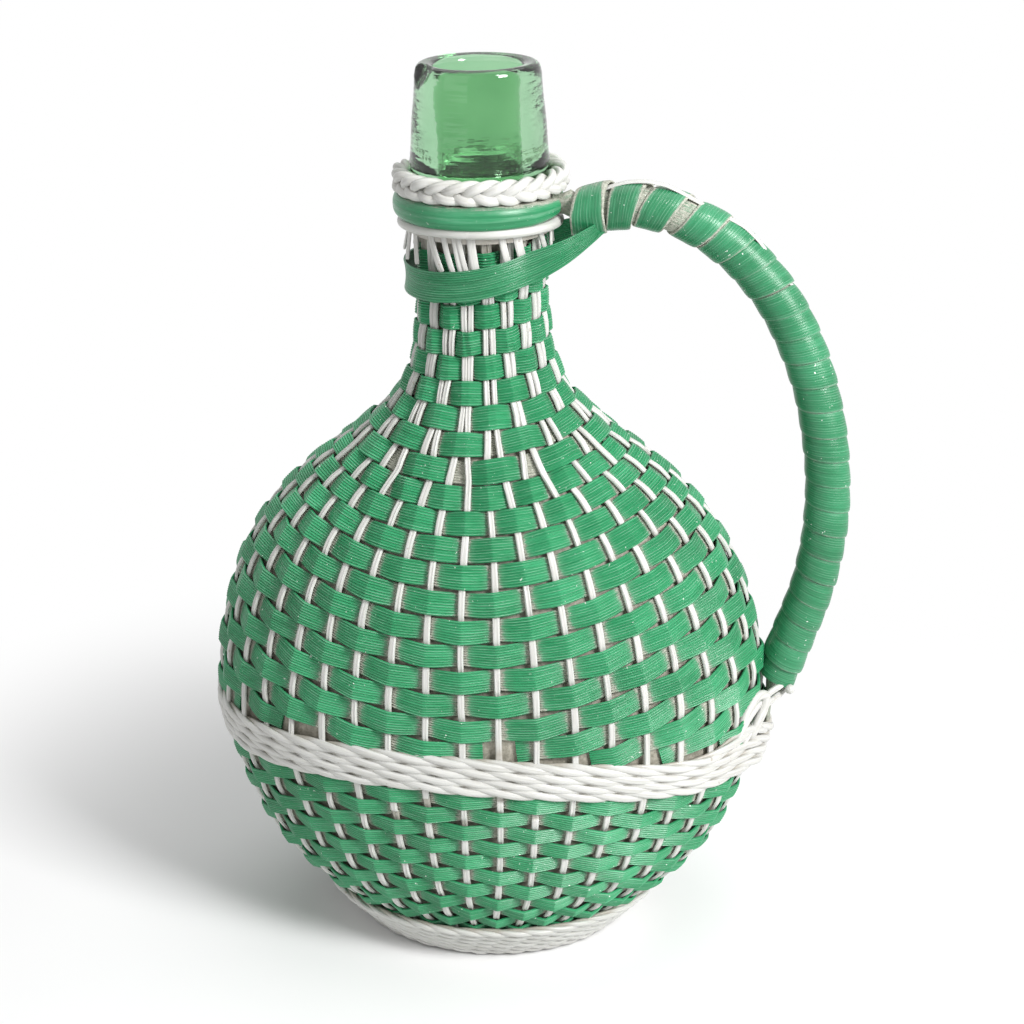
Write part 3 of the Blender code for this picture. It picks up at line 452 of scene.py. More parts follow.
def cane_material(name, dirt=1.0):
    """Milky plastic cane, dirty where its dust value is high."""
    material, tree, shader = new_material(name)
    place = object_place(tree)
    streaks = noise(strand_place(tree, 30.0, 4.0), 1.0, 4.0, 0.6)
    patches = noise(place, 38.0, 4.0, 0.6)
    grain = noise(place, 650.0, 3.0, 0.7)
    reach = plus(times(layer(tree, "dust"), 1.1 * dirt), times(patches, 0.7))
    reach = plus(reach, times(grain, 0.45))
    dusty = span(reach, 0.85, 1.75, 0.0, 0.8)
    colour = mix(dusty, ramp(streaks, CANE_SHADES), CANE_DIRT)
    flecks = span(noise(place, 300.0, 2.0, 0.5), 0.72, 0.78, 0.0, 0.6)
    relief = plus(times(streaks, 0.7), times(grain, 0.3))
    set_inputs(tree, shader, {
        "Base Color": mix(flecks, colour, CANE_FLECK), "Normal": bump(relief, 0.0003, 0.5),
        "Roughness": span(grain, 0.3, 0.7, 0.30, 0.48), "Subsurface Weight": 0.12,
        "Subsurface Radius": (0.004, 0.004, 0.003)})
    return material


def glass_material():
    """Clear green at the mouth, and dull with dust where the weave covers it."""
    material, tree, shader = new_material("glass_green")
    place = object_place(tree)
    clear = ramp(noise(place, 45.0, 3.0, 0.5), GLASS_SHADES)
    height = node(tree, "ShaderNodeSeparateXYZ", {0: place}).outputs["Z"]
    covered = span(height, GLASS_BARE_HEIGHT, GLASS_COVERED_HEIGHT)
    soil = ramp(noise(place, 500.0, 4.0, 0.75), SOIL_SHADES)
    smears = span(noise(place, 120.0, 3.0, 0.6), 0.4, 0.8, 0.02, 0.10)
    flat = node(tree, "ShaderNodeMapping", {"Vector": place, "Scale": (60.0, 60.0, 420.0)})
    ripples = noise(flat.outputs["Vector"], 1.0, 2.0, 0.5)
    set_inputs(tree, shader, {
        "Base Color": mix(covered, clear, soil), "Normal": bump(ripples, 0.0005, 0.40), "IOR": 1.5,
        "Roughness": plus(times(covered, 0.7), smears),
        "Transmission Weight": math_node(tree, "SUBTRACT", 1.0, covered)})
    return material


UPPER_RIBS = 9
LOWER_RIBS = 7
SLING_RIBS = 13
WRAP_RIBS = 11
RIBBON = ribbon_material("ribbon_green", UPPER_RIBS)
NARROW = ribbon_material("ribbon_green_narrow", LOWER_RIBS)
WIDE = ribbon_material("ribbon_green_wide", SLING_RIBS, gloss=0.26, dust_gain=0.9, depth=0.8, rib_height=0.25)
# The wrap's ribbon has its whole ramp darkened (0.72) as painted shade.
WRAP = ribbon_material("ribbon_green_wrap", WRAP_RIBS, gloss=0.26, depth=0.72, rib_height=0.12)
HOOP = ribbon_material("ribbon_green_hoop", 3, gloss=0.20, depth=0.85, rib_height=0.0)
CANE = cane_material("cane_white")
DIRTY_CANE = cane_material("cane_white_dirty", 1.5)
GLASS = glass_material()

# Glass bottle
GLASS_SIDES = 180
BODY_TOP = 0.3545
EDGE_HEIGHT = 0.3590
TOP_SWELL = 0.0004
RIM_START = 0.3966
# Corners: centre's radius and height, half sizes, first and last angle, and count
EDGE = (FINISH_BASE_RADIUS - 0.0035, EDGE_HEIGHT, 0.0035, 0.0035, -90, 0, 6)
RIM = (FINISH_TOP_RADIUS - 0.0030, 0.3968, 0.0032, 0.0031, 5, 90, 9)
LIP = (BORE_RADIUS + 0.0026, 0.3969, 0.0026, 0.0026, 90, 180, 8)
BORE_TOP = 0.393
BORE_WIDENING = 0.0004
CAVITY_TOP = 0.290
CAVITY_FLOOR = 0.012
CAVITY_INSET = 1.3 * WALL
WAVE_STEPS = 40
CHIP_AZIMUTH = math.radians(-58)
CHIP_LEAN = math.radians(34)
CHIP_DEPTH = 0.0042
CHIP_CURVE = 34.0
CHIP_RIPPLE = 0.00014
CHIP_MOST = 0.007
CHIP_REACH = 0.018


def arc(first, last, count):
    """Angles evenly from first to last, given in degrees."""
    return np.radians(np.linspace(first, last, count))


def corner(radius, height, across, up, first, last, count):
    angles = arc(first, last, count)
    reach = radius + across * np.cos(angles)
    return np.stack((reach, reach, height + up * np.sin(angles)), -1)


def glass_bottle():
    azimuth = np.arange(GLASS_SIDES) * TURN / GLASS_SIDES
    body = np.concatenate((
        np.linspace(UNDERSIDE, 0.03, 14), np.linspace(0.035, NECK_FOOT, 60),
        np.linspace(0.305, BODY_TOP, 12)))
    rows = [(*body_size(height), height) for height in body]
    rows.extend(corner(*EDGE))
    outer = len(rows)
    for share in np.linspace(0.04, 0.96, WAVE_STEPS):
        radius = FINISH_BASE_RADIUS + (FINISH_TOP_RADIUS + TOP_SWELL - FINISH_BASE_RADIUS) * share
        rows.append((radius, radius, EDGE_HEIGHT + (RIM_START - EDGE_HEIGHT) * share))
    rows.extend(corner(*RIM))
    rows.extend(corner(*LIP))
    inner = len(rows)
    for height in np.linspace(BORE_TOP, NECK_FOOT, WAVE_STEPS):
        radius = BORE_RADIUS + BORE_WIDENING * (BORE_TOP - height) / (BORE_TOP - NECK_FOOT)
        rows.append((radius, radius, height))
    for height in np.linspace(CAVITY_TOP, CAVITY_FLOOR, 40):
        width, depth = body_size(height)
        rows.append((max(width - CAVITY_INSET, BORE_RADIUS), max(depth - CAVITY_INSET, BORE_RADIUS), height))
    rows = np.array(rows)
    points = np.stack((
        rows[:, :1] * np.sin(azimuth), -rows[:, 1:2] * np.cos(azimuth), rows[:, 2:] + 0 * azimuth), -1)
    step = np.arange(WAVE_STEPS)[:, None]
    swell = np.zeros((len(rows), GLASS_SIDES))
    fine = 0.00007 * np.sin(2.3 * step + 1.5 * np.sin(3 * azimuth)) * (
        0.6 + 0.4 * np.sin(5 * azimuth + 0.4 * step))
    swell[outer:outer + WAVE_STEPS] = fine + 0.00012 * np.sin(2 * azimuth + 0.25 * step)
    broad = 0.00035 * np.sin(2 * azimuth + 0.12 * step)
    swell[inner:inner + WAVE_STEPS] = broad + 0.00025 * np.sin(3 * azimuth - 0.2 * step)
    points[..., 0] *= 1 + swell / rows[:, :1]
    points[..., 1] *= 1 + swell / rows[:, 1:2]
    chip_rim(points)
    skin = Skin()
    skin.add(points)
    skin.finish("bottle", GLASS, 40, ("glass_bottle",))


def chip_rim(points):
    """Shell-shaped flake off the rim's outer corner."""
    sine = math.sin(CHIP_AZIMUTH)
    cosine = math.cos(CHIP_AZIMUTH)
    out = np.array((sine * math.cos(CHIP_LEAN), -cosine * math.cos(CHIP_LEAN), math.sin(CHIP_LEAN)))
    side = np.array((cosine, sine, 0.0))
    offset = points - np.array((sine * FINISH_TOP_RADIUS, -cosine * FINISH_TOP_RADIUS, HEIGHT))
    run = offset @ side
    ripple = CHIP_RIPPLE * np.sin(1500 * (run + 1.4 * (offset @ np.cross(out, side))))
    bowl = -CHIP_DEPTH + CHIP_CURVE * run ** 2 + ripple
    cut = np.clip(offset @ out - bowl, 0, CHIP_MOST)
    cut[np.linalg.norm(offset, axis=-1) > CHIP_REACH] = 0
    points -= cut[..., None] * out


# Weave
RIBBON_THICKNESS = 0.0008
RIB_HEIGHT = 0.00032
SHARE_STEPS = (0, 0.2, 0.45, 0.7, 0.86, 0.95, 1)
DIVE_SHARES = (0, 0.19, 0.46, 0.77, 0.93, 0.99, 1)
HEIGHT_UNEVEN = 0.00022
TWIST_UNEVEN = 0.035
WIDTH_UNEVEN = 0.02
ROW_SHIFT = 0.37


def rib_profile(places, width, ribs, thickness, depth):
    """Section for each place, with its ribbed face out and its flat face in."""
    count = 2 * ribs + 1
    across = np.linspace(-1, 1, count)
    height = np.where(np.arange(count) % 2, depth, 0.0) - 0.25 * depth * across ** 4
    face = np.stack((across * width / 2, height + thickness), -1)
    back = np.array(((width / 2 * 0.96, 0.0), (-width / 2 * 0.96, 0.0)))
    profile = np.concatenate((face, back))
    return np.repeat(profile[None], places, axis=0), np.concatenate((across, (1.0, -1.0)))


def under_share(places, row):
    """0 where a row passes over its stakes and 1 where it dives under them."""
    if row < PAIRED_ROWS:
        phase = np.mod(places + 2 * (row + 1), 4)
        return np.where(phase <= 1, 0, np.where(phase < 2, phase - 1, np.where(phase <= 3, 1, 4 - phase)))
    phase = np.mod(places + row + 1, 2)
    return np.minimum(phase, 2 - phase)


def weft_piece(name, row, places, start, length_of, width, ribs, material, closed=True):
    """One woven ribbon at places counted in stakes, a length along the glass from a start height."""
    base = stake_azimuth(places, AZIMUTH_HEIGHT)
    height = height_along(base, start, length_of(base) + wander(26, places, HEIGHT_UNEVEN))
    share = under_share(places, row)
    stand = OVER + (UNDER - OVER) * np.interp(share, SHARE_STEPS, DIVE_SHARES)
    stand += (1 - share) * (np.abs(wander(40, places, HEIGHT_UNEVEN)) - 0.0001)
    if not closed:
        tuck = np.clip(np.minimum(places - places[0], places[-1] - places) / 0.7, 0, 1)
        stand = UNDER + (stand - UNDER) * tuck
    place, _, _, out = on_body(stake_azimuth(places, height), height)
    twist = wander(40, places, TWIST_UNEVEN)[:, None]
    run = place + out * stand[:, None]
    tangent = directions(run, closed)
    across = unit(np.cross(out, tangent) + twist * out)
    outward = unit(out + 0.35 * (np.cross(tangent, across) - out))
    profile, side = rib_profile(len(places), width, ribs, RIBBON_THICKNESS, RIB_HEIGHT)
    profile[..., 0] *= (1 + wander(50, places, WIDTH_UNEVEN) - 0.05 * share ** 2)[:, None]
    profile[..., 1] -= 0.00025 * side[None] ** 2 * (1 - share[:, None])
    length = lengths_along(run)[:, None] + row * ROW_SHIFT
    grime = np.clip((share - 0.45) / 0.55, 0, 1)[:, None] ** 1.3 * 0.9 + 0.12 * side[None] ** 4
    skin = Skin()
    skin.add(lay(run, across, outward, profile), closed, length, side[None], grime)
    skin.finish(name, material)


def whole_round():
    return (STAKES // 2 + np.arange(STAKES)[:, None] + STEPS).ravel()


def part_round(first, last):
    """Places of a part row, with both ends carried past its last stakes."""
    inner = (np.arange(first, last)[:, None] + STEPS).ravel()
    ends = np.array((0.0, 0.2, 0.4, 0.55))
    return np.concatenate((first - ends[:0:-1], inner, last + ends))


def upper_length(row):
    return lambda azimuth: -(UPPER_FIRST + row * UPPER_PITCH - UPPER_RISE * np.sin(azimuth))


def lower_length(row):
    return lambda azimuth: (LOWER_FIRST + row * LOWER_PITCH) * (1 + BAND_RISE / BAND_CENTRE * np.sin(azimuth))


def lower_parity(row):
    return LOWER_ROWS - row + PAIRED_ROWS


def weft():
    upper = (UPPER_WIDTH, UPPER_RIBS, RIBBON)
    for row in range(FULL_ROWS):
        weft_piece(f"upper_weft_{row + 1:02d}", row, whole_round(), UPPER_START, upper_length(row), *upper)
    for row, side, first, last in PART_ROWS:
        name = f"upper_weft_{row + 1:02d}_{side}"
        weft_piece(name, row, part_round(first, last), UPPER_START, upper_length(row), *upper, closed=False)
    lower = (LOWER_WIDTH, LOWER_RIBS, NARROW)
    for row in range(LOWER_ROWS):
        name = f"lower_weft_{row + 1:02d}"
        weft_piece(name, lower_parity(row), whole_round(), LOWER_START, lower_length(row), *lower)


# Stakes
STAKE_OUTLINE = np.array((
    (-1.00, 0.10), (-0.92, 0.75), (-0.55, 1.02), (-0.12, 0.88), (0.12, 0.88), (0.55, 1.02), (0.92, 0.75),
    (1.00, 0.10), (0.70, 0.0), (-0.70, 0.0)))
STAKE_WIDTH = 0.00285
STAKE_NECK_WIDTH = 0.0025
STAKE_THICKNESS = 0.00125
STAKE_TOP = 0.3412
STAKE_COVERED = 0.0016
STAKE_BARE = 0.00275
STAKE_IN_BAND = 0.0027
BAND_HALF = 0.0095


def stake_rows(number):
    """Heights of the rows on a stake's line, and how far the stake stands off the glass there."""
    base = BODY_AZIMUTHS[number:number + 1]
    band = height_along(base, LOWER_START, BAND_CENTRE + BAND_RISE * np.sin(base))[0]
    found = [(band, STAKE_IN_BAND)]
    upper = [(row, UPPER_START, upper_length(row)) for row in range(PART_ROWS[-1][0] + 1)]
    lower = [(lower_parity(row), LOWER_START, lower_length(row)) for row in range(LOWER_ROWS)]
    for row, start, length_of in upper + lower:
        height = height_along(base, start, length_of(base))[0]
        covered = under_share(np.array([float(number)]), row)[0] < 0.5
        if abs(height - band) > BAND_HALF:
            found.append((height, STAKE_COVERED if covered else STAKE_BARE))
    return np.array(sorted(found)).T


def stakes():
    skin = Skin()
    for number in range(STAKES):
        heights, stands = stake_rows(number)
        levels = [UNDERSIDE, 0.006, 0.009]
        for low, high in zip(heights, heights[1:]):
            levels.extend(low + (high - low) * np.array((0.0, 0.3, 0.5, 0.7)))
        levels.extend((heights[-1], 0.328, 0.335, STAKE_TOP))
        levels = np.array(sorted(level for level in levels if level <= STAKE_TOP))
        cell = np.clip(np.searchsorted(heights, levels) - 1, 0, len(heights) - 2)
        t = np.clip((levels - heights[cell]) / (heights[cell + 1] - heights[cell]), 0, 1)
        stand = stands[cell] + (stands[cell + 1] - stands[cell]) * t * t * (3 - 2 * t)
        stand += 0.00012 * np.sin(levels * 260 + number)
        place, along, _, out = on_body(whole_stake_azimuth(np.array([number]), levels), levels)
        closing = np.clip((levels - 0.235) / 0.022, 0, 1)
        half = (STAKE_WIDTH + (STAKE_NECK_WIDTH - STAKE_WIDTH) * closing) / 2
        half *= 1 + 0.08 * np.sin(levels * 90 + 2.1 * number)
        shape = np.repeat(STAKE_OUTLINE[None], len(levels), axis=0)
        shape[..., 0] *= half[:, None]
        shape[..., 1] *= STAKE_THICKNESS
        drift = 0.00035 * np.sin(levels * 55 + 1.7 * number)[:, None] * along
        run = place + out * stand[:, None] + drift
        inward = run[0] * np.array((0.45, 0.45, 1.0))
        bottom = np.array([inward + (run[0] - inward) * share for share in (0.0, 0.5, 0.93)])
        bottom[:, 2] = (0.0022, 0.0022, 0.0026)
        run = np.concatenate((bottom, run[1:]))
        along = np.concatenate((along[:1], along[:1], along))
        out = np.concatenate((np.tile(-UP, (2, 1)), unit(out[:1] - UP), out[1:]))
        shape = np.concatenate((shape[:1], shape[:1], shape))
        covered = np.interp(levels, heights, (stands < 0.002).astype(float))
        grime = 0.15 + 0.7 * np.concatenate(([0.3, 0.3], covered))[:, None] ** 2
        grime = grime + 0.25 * (STAKE_OUTLINE[None, :, 1] < 0.5)
        length = lengths_along(run)[:, None] + 0.41 * number
        skin.add(lay(run, along, out, shape), False, length, STAKE_OUTLINE[None, :, 0], grime)
    skin.finish("stakes", CANE, nodes=("warp_stakes",))


# Twined bands
BAND_STEPS = 6
BAND_PLACES = STAKES // 2 + np.arange(STAKES * BAND_STEPS) / BAND_STEPS
BAND_SHIFT = 0.8
BAND_CANE = 0.00128
BAND_FLATNESS = 1.4
BAND_DUST = 0.9
BAND_STAND = 0.0034
FOOT_STAND = 0.0050
FOOT_DEGREES = 12
FAR_RISE = 0.0045
NEAR_RISE = 0.0050
NEAR_SPREAD = 0.55
BORDER_ROWS = 6
BORDER_PITCH = 0.0033
BORDER_WIDER = 0.0050
BORDER_DEEPER = 0.0052
BORDER_WIDTH_FLARE = 0.93
BORDER_DEPTH_FLARE = 0.66
BORDER_LEAN = 0.85


def twined(skin, centre, up, out, row, rise, swing):
    """A course of three canes, each in front of two stakes and behind the third, rising as it goes in."""
    for strand in range(3):
        phase = TURN * ((STAKES - 1) / STAKES * BAND_PLACES + BAND_SHIFT * row + strand) / 3
        offset = rise * np.sin(phase) + wander(40, BAND_PLACES, HEIGHT_UNEVEN)
        depth = swing * np.cos(phase) + wander(40, BAND_PLACES, 0.00012)
        run = centre + up * offset[:, None] + out * depth[:, None]
        front = 0.5 + 0.5 * np.cos(phase)
        thick = BAND_CANE * (0.80 + 0.20 * front) * (1 + wander(30, BAND_PLACES, WIDTH_UNEVEN))
        rod(skin, run, out, thick, True, 12, BAND_DUST * (1 - front) ** 1.5, BAND_FLATNESS)


def waist_band():
    """Four courses that rise and spread near the handle, and stand off the glass at its foot."""
    base = stake_azimuth(BAND_PLACES, AZIMUTH_HEIGHT)
    far = np.exp(-((np.mod(base, TURN) - 1.52 * math.pi) / 0.30) ** 2)
    near = np.exp(-((np.mod(base, TURN) - 0.40 * math.pi) / 0.24) ** 2)
    off = np.degrees(np.mod(base - math.pi / 2 + math.pi, TURN) - math.pi) / FOOT_DEGREES
    stand = BAND_STAND + FOOT_STAND * np.exp(-off ** 2)
    for row in range(BAND_ROWS):
        pitch = BAND_PITCH * (1 + NEAR_SPREAD * near)
        length = BAND_CENTRE + (row - (BAND_ROWS - 1) / 2) * pitch + BAND_RISE * np.sin(base)
        length = length + FAR_RISE * far + NEAR_RISE * near
        place, _, up, out = on_body(base, height_along(base, LOWER_START, length))
        skin = Skin()
        twined(skin, place + out * stand[:, None], up, out, row, -0.0013, 0.0012)
        skin.finish(f"waist_cane_{row + 1}", DIRTY_CANE, 80)


def foot_border():
    skin = Skin()
    azimuth = stake_azimuth(BAND_PLACES, 0.01)
    sine = np.sin(azimuth)
    cosine = np.cos(azimuth)
    base_width, base_depth = body_size(UNDERSIDE)
    for row in range(BORDER_ROWS):
        height = BORDER_PITCH + BORDER_PITCH * row
        width = base_width + BORDER_WIDER + BORDER_WIDTH_FLARE * height
        depth = base_depth + BORDER_DEEPER + BORDER_DEPTH_FLARE * height
        place = np.stack((width * sine, -depth * cosine, height + 0 * azimuth), -1)
        along = unit(np.stack((width * cosine, depth * sine, 0 * azimuth), -1))
        level = np.stack((depth * sine, -width * cosine, 0 * azimuth), -1)
        out = unit(unit(level) - BORDER_LEAN * UP)
        twined(skin, place, np.cross(out, along), out, row, -0.0010, 0.0010)
    skin.finish("foot_border", DIRTY_CANE, 80)


# Neck
PLAIT_CANES = 5
PLAIT_RADIUS = 0.0333
PLAIT_HEIGHT = 0.3522
PLAIT_CANE = 0.00172
HOOP_RADIUS = 0.0318
HOOP_HEIGHT = 0.3424
HOOP_HALF = 0.0050
HOOP_BULGE = 0.0044
HOOP_OPENING = 15
HOOP_NARROWING = ((100, 0.3), (115, 0.8), (150, 1.0), (405, 1.0), (434, 0.72), (445, 0.40))
RING_RADIUS = 0.0329
RING_HEIGHT = 0.3345
RING_CANE = 0.0022
FRINGE_RADIUS = 0.0293
FRINGE_HEIGHT = 0.3385
FRINGE_OUTLINE = np.array(((-0.0075, 0.0), (-0.0075, 0.0007), (0.0075, 0.0007), (0.0075, 0.0)))
TAIL_RADIUS = 0.02985
TAIL_SPREAD = 0.0012
TAIL_THICKNESS = 0.00062
SLING_RADIUS = 0.0316
SLING_HEIGHT = 0.3119
SLING_WIDTH = 0.0130
SLING_RIB_HEIGHT = 0.00026
SLING_START = np.array(((0.0530, 0.0040, 0.3345), (0.0470, 0.0105, 0.3310), (0.0385, 0.0172, 0.3265)))
SLING_END = SLING_START[::-1] * (1, -1, 1)
SLING_NARROWING = ((0, 0.42), (0.06, 0.62), (0.16, 1), (0.84, 1), (0.94, 0.62), (1, 0.42))
SLING_CUPPING = ((0, 0.2), (0.15, 1), (0.8, 1), (1, 0.2))


def read(pairs, wanted, scale=1.0):
    """Values wanted from pairs of a place and its value, with straight lines between."""
    places, values = np.array(pairs, dtype=float).T
    return np.interp(wanted, places, values * scale)


def ring_frame(azimuth, radius, height):
    """Places round the neck, and their directions outward."""
    out = np.stack((np.sin(azimuth), -np.cos(azimuth), 0 * azimuth), -1)
    level = np.stack((0 * azimuth, 0 * azimuth, height + 0 * azimuth), -1)
    return out * np.asarray(radius)[..., None] + level, out


def neck_plait():
    skin = Skin()
    turn = around(320)
    for strand in range(PLAIT_CANES):
        phase = PLAIT_CANES * turn + TURN * strand / PLAIT_CANES * 2 + 0.4
        uneven = 0.00025 * np.sin(3 * turn + strand) + 0.00015 * np.sin(11 * turn + 2 * strand)
        radius = PLAIT_RADIUS - 0.0010 * np.cos(turn) + 0.0022 * np.sin(2 * phase) + uneven
        height = PLAIT_HEIGHT + 0.0032 * np.sin(phase) - 0.0004 * np.cos(2 * phase) + uneven
        place, out = ring_frame(turn, radius, height)
        rod(skin, place, out, PLAIT_CANE, True, 14, 0.10 + 0.3 * (np.sin(2 * phase) < -0.5), 1.2)
    skin.finish("neck_plait", CANE, 80, ("neck_plait_1", "neck_plait_2", "neck_plait_3"))


def neck_hoop():
    """Half-round band, open where the handle meets the neck and narrow at both ends."""
    skin = Skin()
    azimuth = arc(90 + HOOP_OPENING, 450 - HOOP_OPENING, 200)
    place, out = ring_frame(azimuth, HOOP_RADIUS, HOOP_HEIGHT)
    angles = arc(-90, 90, 15)
    face = np.stack((
        HOOP_HALF * np.sign(np.sin(angles)) * np.abs(np.sin(angles)) ** 0.85,
        0.0006 + HOOP_BULGE * np.cos(angles) ** 0.7), -1)
    profile = np.concatenate((face, ((0.0047, 0.0), (-0.0047, 0.0))))
    side = np.concatenate((np.sin(angles), (1.0, -1.0)))
    profile = np.repeat(profile[None], len(azimuth), axis=0)
    narrow = read(HOOP_NARROWING, np.degrees(azimuth))
    profile[..., 0] *= (narrow + 0.015 * np.sin(7 * azimuth))[:, None]
    profile[..., 1] *= (0.5 + 0.5 * narrow)[:, None]
    grime = np.clip(side[None] - 0.25, 0, 1) * (0.75 + 0.35 * np.clip(np.sin(azimuth), 0, 1))[:, None]
    points = lay(place, UP[None], out, profile)
    skin.add(points, False, azimuth[:, None] * 0.031, side[None] * 0.5, grime)
    skin.finish("neck_hoop", HOOP, 70)


def neck_ring():
    skin = Skin()
    turn = around(160)
    radius = RING_RADIUS + 0.00015 * np.sin(3 * turn)
    place, out = ring_frame(turn, radius, RING_HEIGHT + 0.0017 * np.cos(turn))
    rod(skin, place, out, RING_CANE + 0.0001 * np.sin(5 * turn), True, 18, 0.05)
    skin.finish("neck_ring", CANE, 80)


# Azimuth in degrees, then width, length and sideways lean in millimetres
TAILS = (
    (-80, 3.2, 10.5, 0.4), (-69, 3.4, 13.0, 2.4), (-57, 2.6, 13.5, 3.0), (-36, 2.6, 14.2, 6.4),
    (-23, 2.2, 14.0, 4.6), (-14, 2.0, 13.5, 3.2), (-10.5, 2.0, 13.8, 3.6), (-0.5, 3.0, 14.4, 2.2),
    (24, 2.6, 10.6, 2.2), (37, 3.4, 9.6, 2.0), (62, 2.6, 7.0, 2.0), (84, 2.6, 8.0, -3.4),
    (108, 2.8, 10.0, 1.0), (128, 2.4, 12.0, -1.5), (149, 3.0, 11.0, 2.0), (168, 2.6, 13.0, 2.4),
    (186, 2.4, 9.0, 0.4), (207, 3.0, 12.0, 1.6), (229, 2.6, 10.0, -1.0), (250, 2.8, 12.0, 2.2),
)


def neck_fringe():
    """The stakes' cut ends, which hang from a collar hidden behind the ring."""
    skin = Skin()
    turn = around(120)
    place, out = ring_frame(turn, FRINGE_RADIUS, FRINGE_HEIGHT)
    skin.add(lay(place, UP[None], out, FRINGE_OUTLINE), True, turn[:, None] * 0.03, 0.0, 0.8)
    share = np.linspace(0, 1, 14)
    angles = around(12)
    for degrees, width, length, lean in TAILS:
        swing = math.radians(degrees) + lean * 0.001 / 0.031 * share ** 1.3
        radius = TAIL_RADIUS + TAIL_SPREAD * share + (0.0014 * share if degrees < -60 else 0)
        place, out = ring_frame(swing, radius, RING_HEIGHT - (length + 1.4) * 0.001 * share)
        across = unit(np.cross(out, directions(place)))
        shape = np.stack((
            width * 0.0006 * np.sign(np.cos(angles)) * np.abs(np.cos(angles)) ** 0.6,
            TAIL_THICKNESS * np.sin(angles) * (1 + 0.25 * np.cos(3 * angles))), -1)
        shape = shape[None] * np.interp(share, (0, 0.94, 1), (1, 1.0, 0.86))[:, None, None]
        grime = 0.1 + 0.25 * (1 - share[:, None])
        along = share[:, None] * 0.015 + degrees
        skin.add(lay(place, across, out, shape), False, along, np.cos(angles)[None], grime)
    skin.finish("neck_fringe", CANE, 60)


def neck_sling():
    """Wide ribbon from the handle round the neck and back, narrow at both ends."""
    sweep = arc(142, 398, 40)
    lift = 0.0027 * (1 + np.sin(sweep)) ** 2
    ring, _ = ring_frame(sweep, SLING_RADIUS, SLING_HEIGHT + lift)
    run = path(np.concatenate((SLING_START, ring, SLING_END)), 150)
    tangent = directions(run)
    out = unit(np.cross(tangent, UP))
    out = np.where((np.sum(out * run * (1, 1, 0), axis=1) < 0)[:, None], -out, out)
    across = unit(np.cross(out, tangent))
    across = np.where((across[:, 2] < 0)[:, None], -across, across)
    profile, side = rib_profile(len(run), SLING_WIDTH, SLING_RIBS, RIBBON_THICKNESS, SLING_RIB_HEIGHT)
    reach = np.linspace(0, 1, len(run))
    profile[..., 0] *= read(SLING_NARROWING, reach)[:, None]
    cup = 0.0009 * side[None] ** 2 * read(SLING_CUPPING, reach)[:, None]
    profile[..., 1] += cup - 0.0003
    grime = 0.25 * np.clip(-side[None] - 0.6, 0, 1) + 0.35 * np.clip(side[None] - 0.75, 0, 1)
    skin = Skin()
    skin.add(lay(run, across, out, profile), False, lengths_along(run)[:, None], side[None], grime)
    skin.finish("neck_sling", WIDE)


# Handle
HANDLE_REACH = (0.0401, 0.1500)
HANDLE_HEIGHTS = (0.1235, 0.3414)
HANDLE_SHARES = np.array((
    (0.000, 0.984), (0.234, 1.000), (0.514, 0.952), (0.739, 0.845), (0.892, 0.702), (0.978, 0.537),
    (1.000, 0.375), (0.962, 0.224), (0.888, 0.100), (0.824, 0.000)))
HANDLE_RUN = path(np.stack((
    HANDLE_REACH[0] + HANDLE_SHARES[:, 0] * (HANDLE_REACH[1] - HANDLE_REACH[0]), 0 * HANDLE_SHARES[:, 0],
    HANDLE_HEIGHTS[0] + HANDLE_SHARES[:, 1] * (HANDLE_HEIGHTS[1] - HANDLE_HEIGHTS[0])), -1), 600)
HANDLE_LENGTHS = lengths_along(HANDLE_RUN)
HANDLE_LENGTH = HANDLE_LENGTHS[-1]
HANDLE_OUT = directions(HANDLE_RUN)[:, (2, 1, 0)] * np.array((-1.0, 0.0, 1.0))
CORE_RADIUS = 0.0078
CORE_HEIGHT = 0.3416
CORE_START = ((0.0306, 0.0042), (0.0350, 0.0044), (0.0380, 0.0058))
CORE_END = ((0.113, 0.0052), (0.104, 0.0052), (0.092, 0.0050))
CORE_STAND = 0.0065
WRAP_STEPS = 44
WRAP_TURNS = 23.9
WRAP_START = -0.55
WRAP_RADIUS = 0.0089
WRAP_RIB_HEIGHT = 0.00009
TURN_LENGTH = 0.058
# Turns of the wrap, then millimetres or shares
WRAP_MIDDLES = (
    (-0.55, 3.2), (0, 5.8), (1, 19.6), (2, 34.4), (3, 53.5), (4, 65.8), (22, 269.5), (23.3, 281.5))
WRAP_WIDTHS = ((0, 14.2), (1, 11.4), (2, 14.0), (3, 12.8), (4, 11.9), (22, 11.5), (23, 9.5))
WRAP_EDGE_GRIME = (
    (0, 0.9), (0.5, 0.9), (1, 0.7), (1.6, 1.0), (2, 0.8), (2.5, 1.0), (3, 0.8), (3.6, 0.7), (5, 0.5),
    (23, 0.5))
WRAP_OUTER_GRIME = ((0, 1), (1, 0.7), (2.5, 0.3), (4, 0.0))
# Lengths along the handle, then lifts of the spine over the wrap, in millimetres
SPINE_LIFTS = (
    (0, 0), (14, 0.2), (22, 2.0), (29, 2.9), (36, 2.7), (45, 1.0), (52, 0.2), (60, 0.6), (68, 1.9),
    (75, 1.6), (84, 0.2), (300, 0))
SPINE_RADIUS = 0.0082
SPINE_SIDE = np.radians(-14)
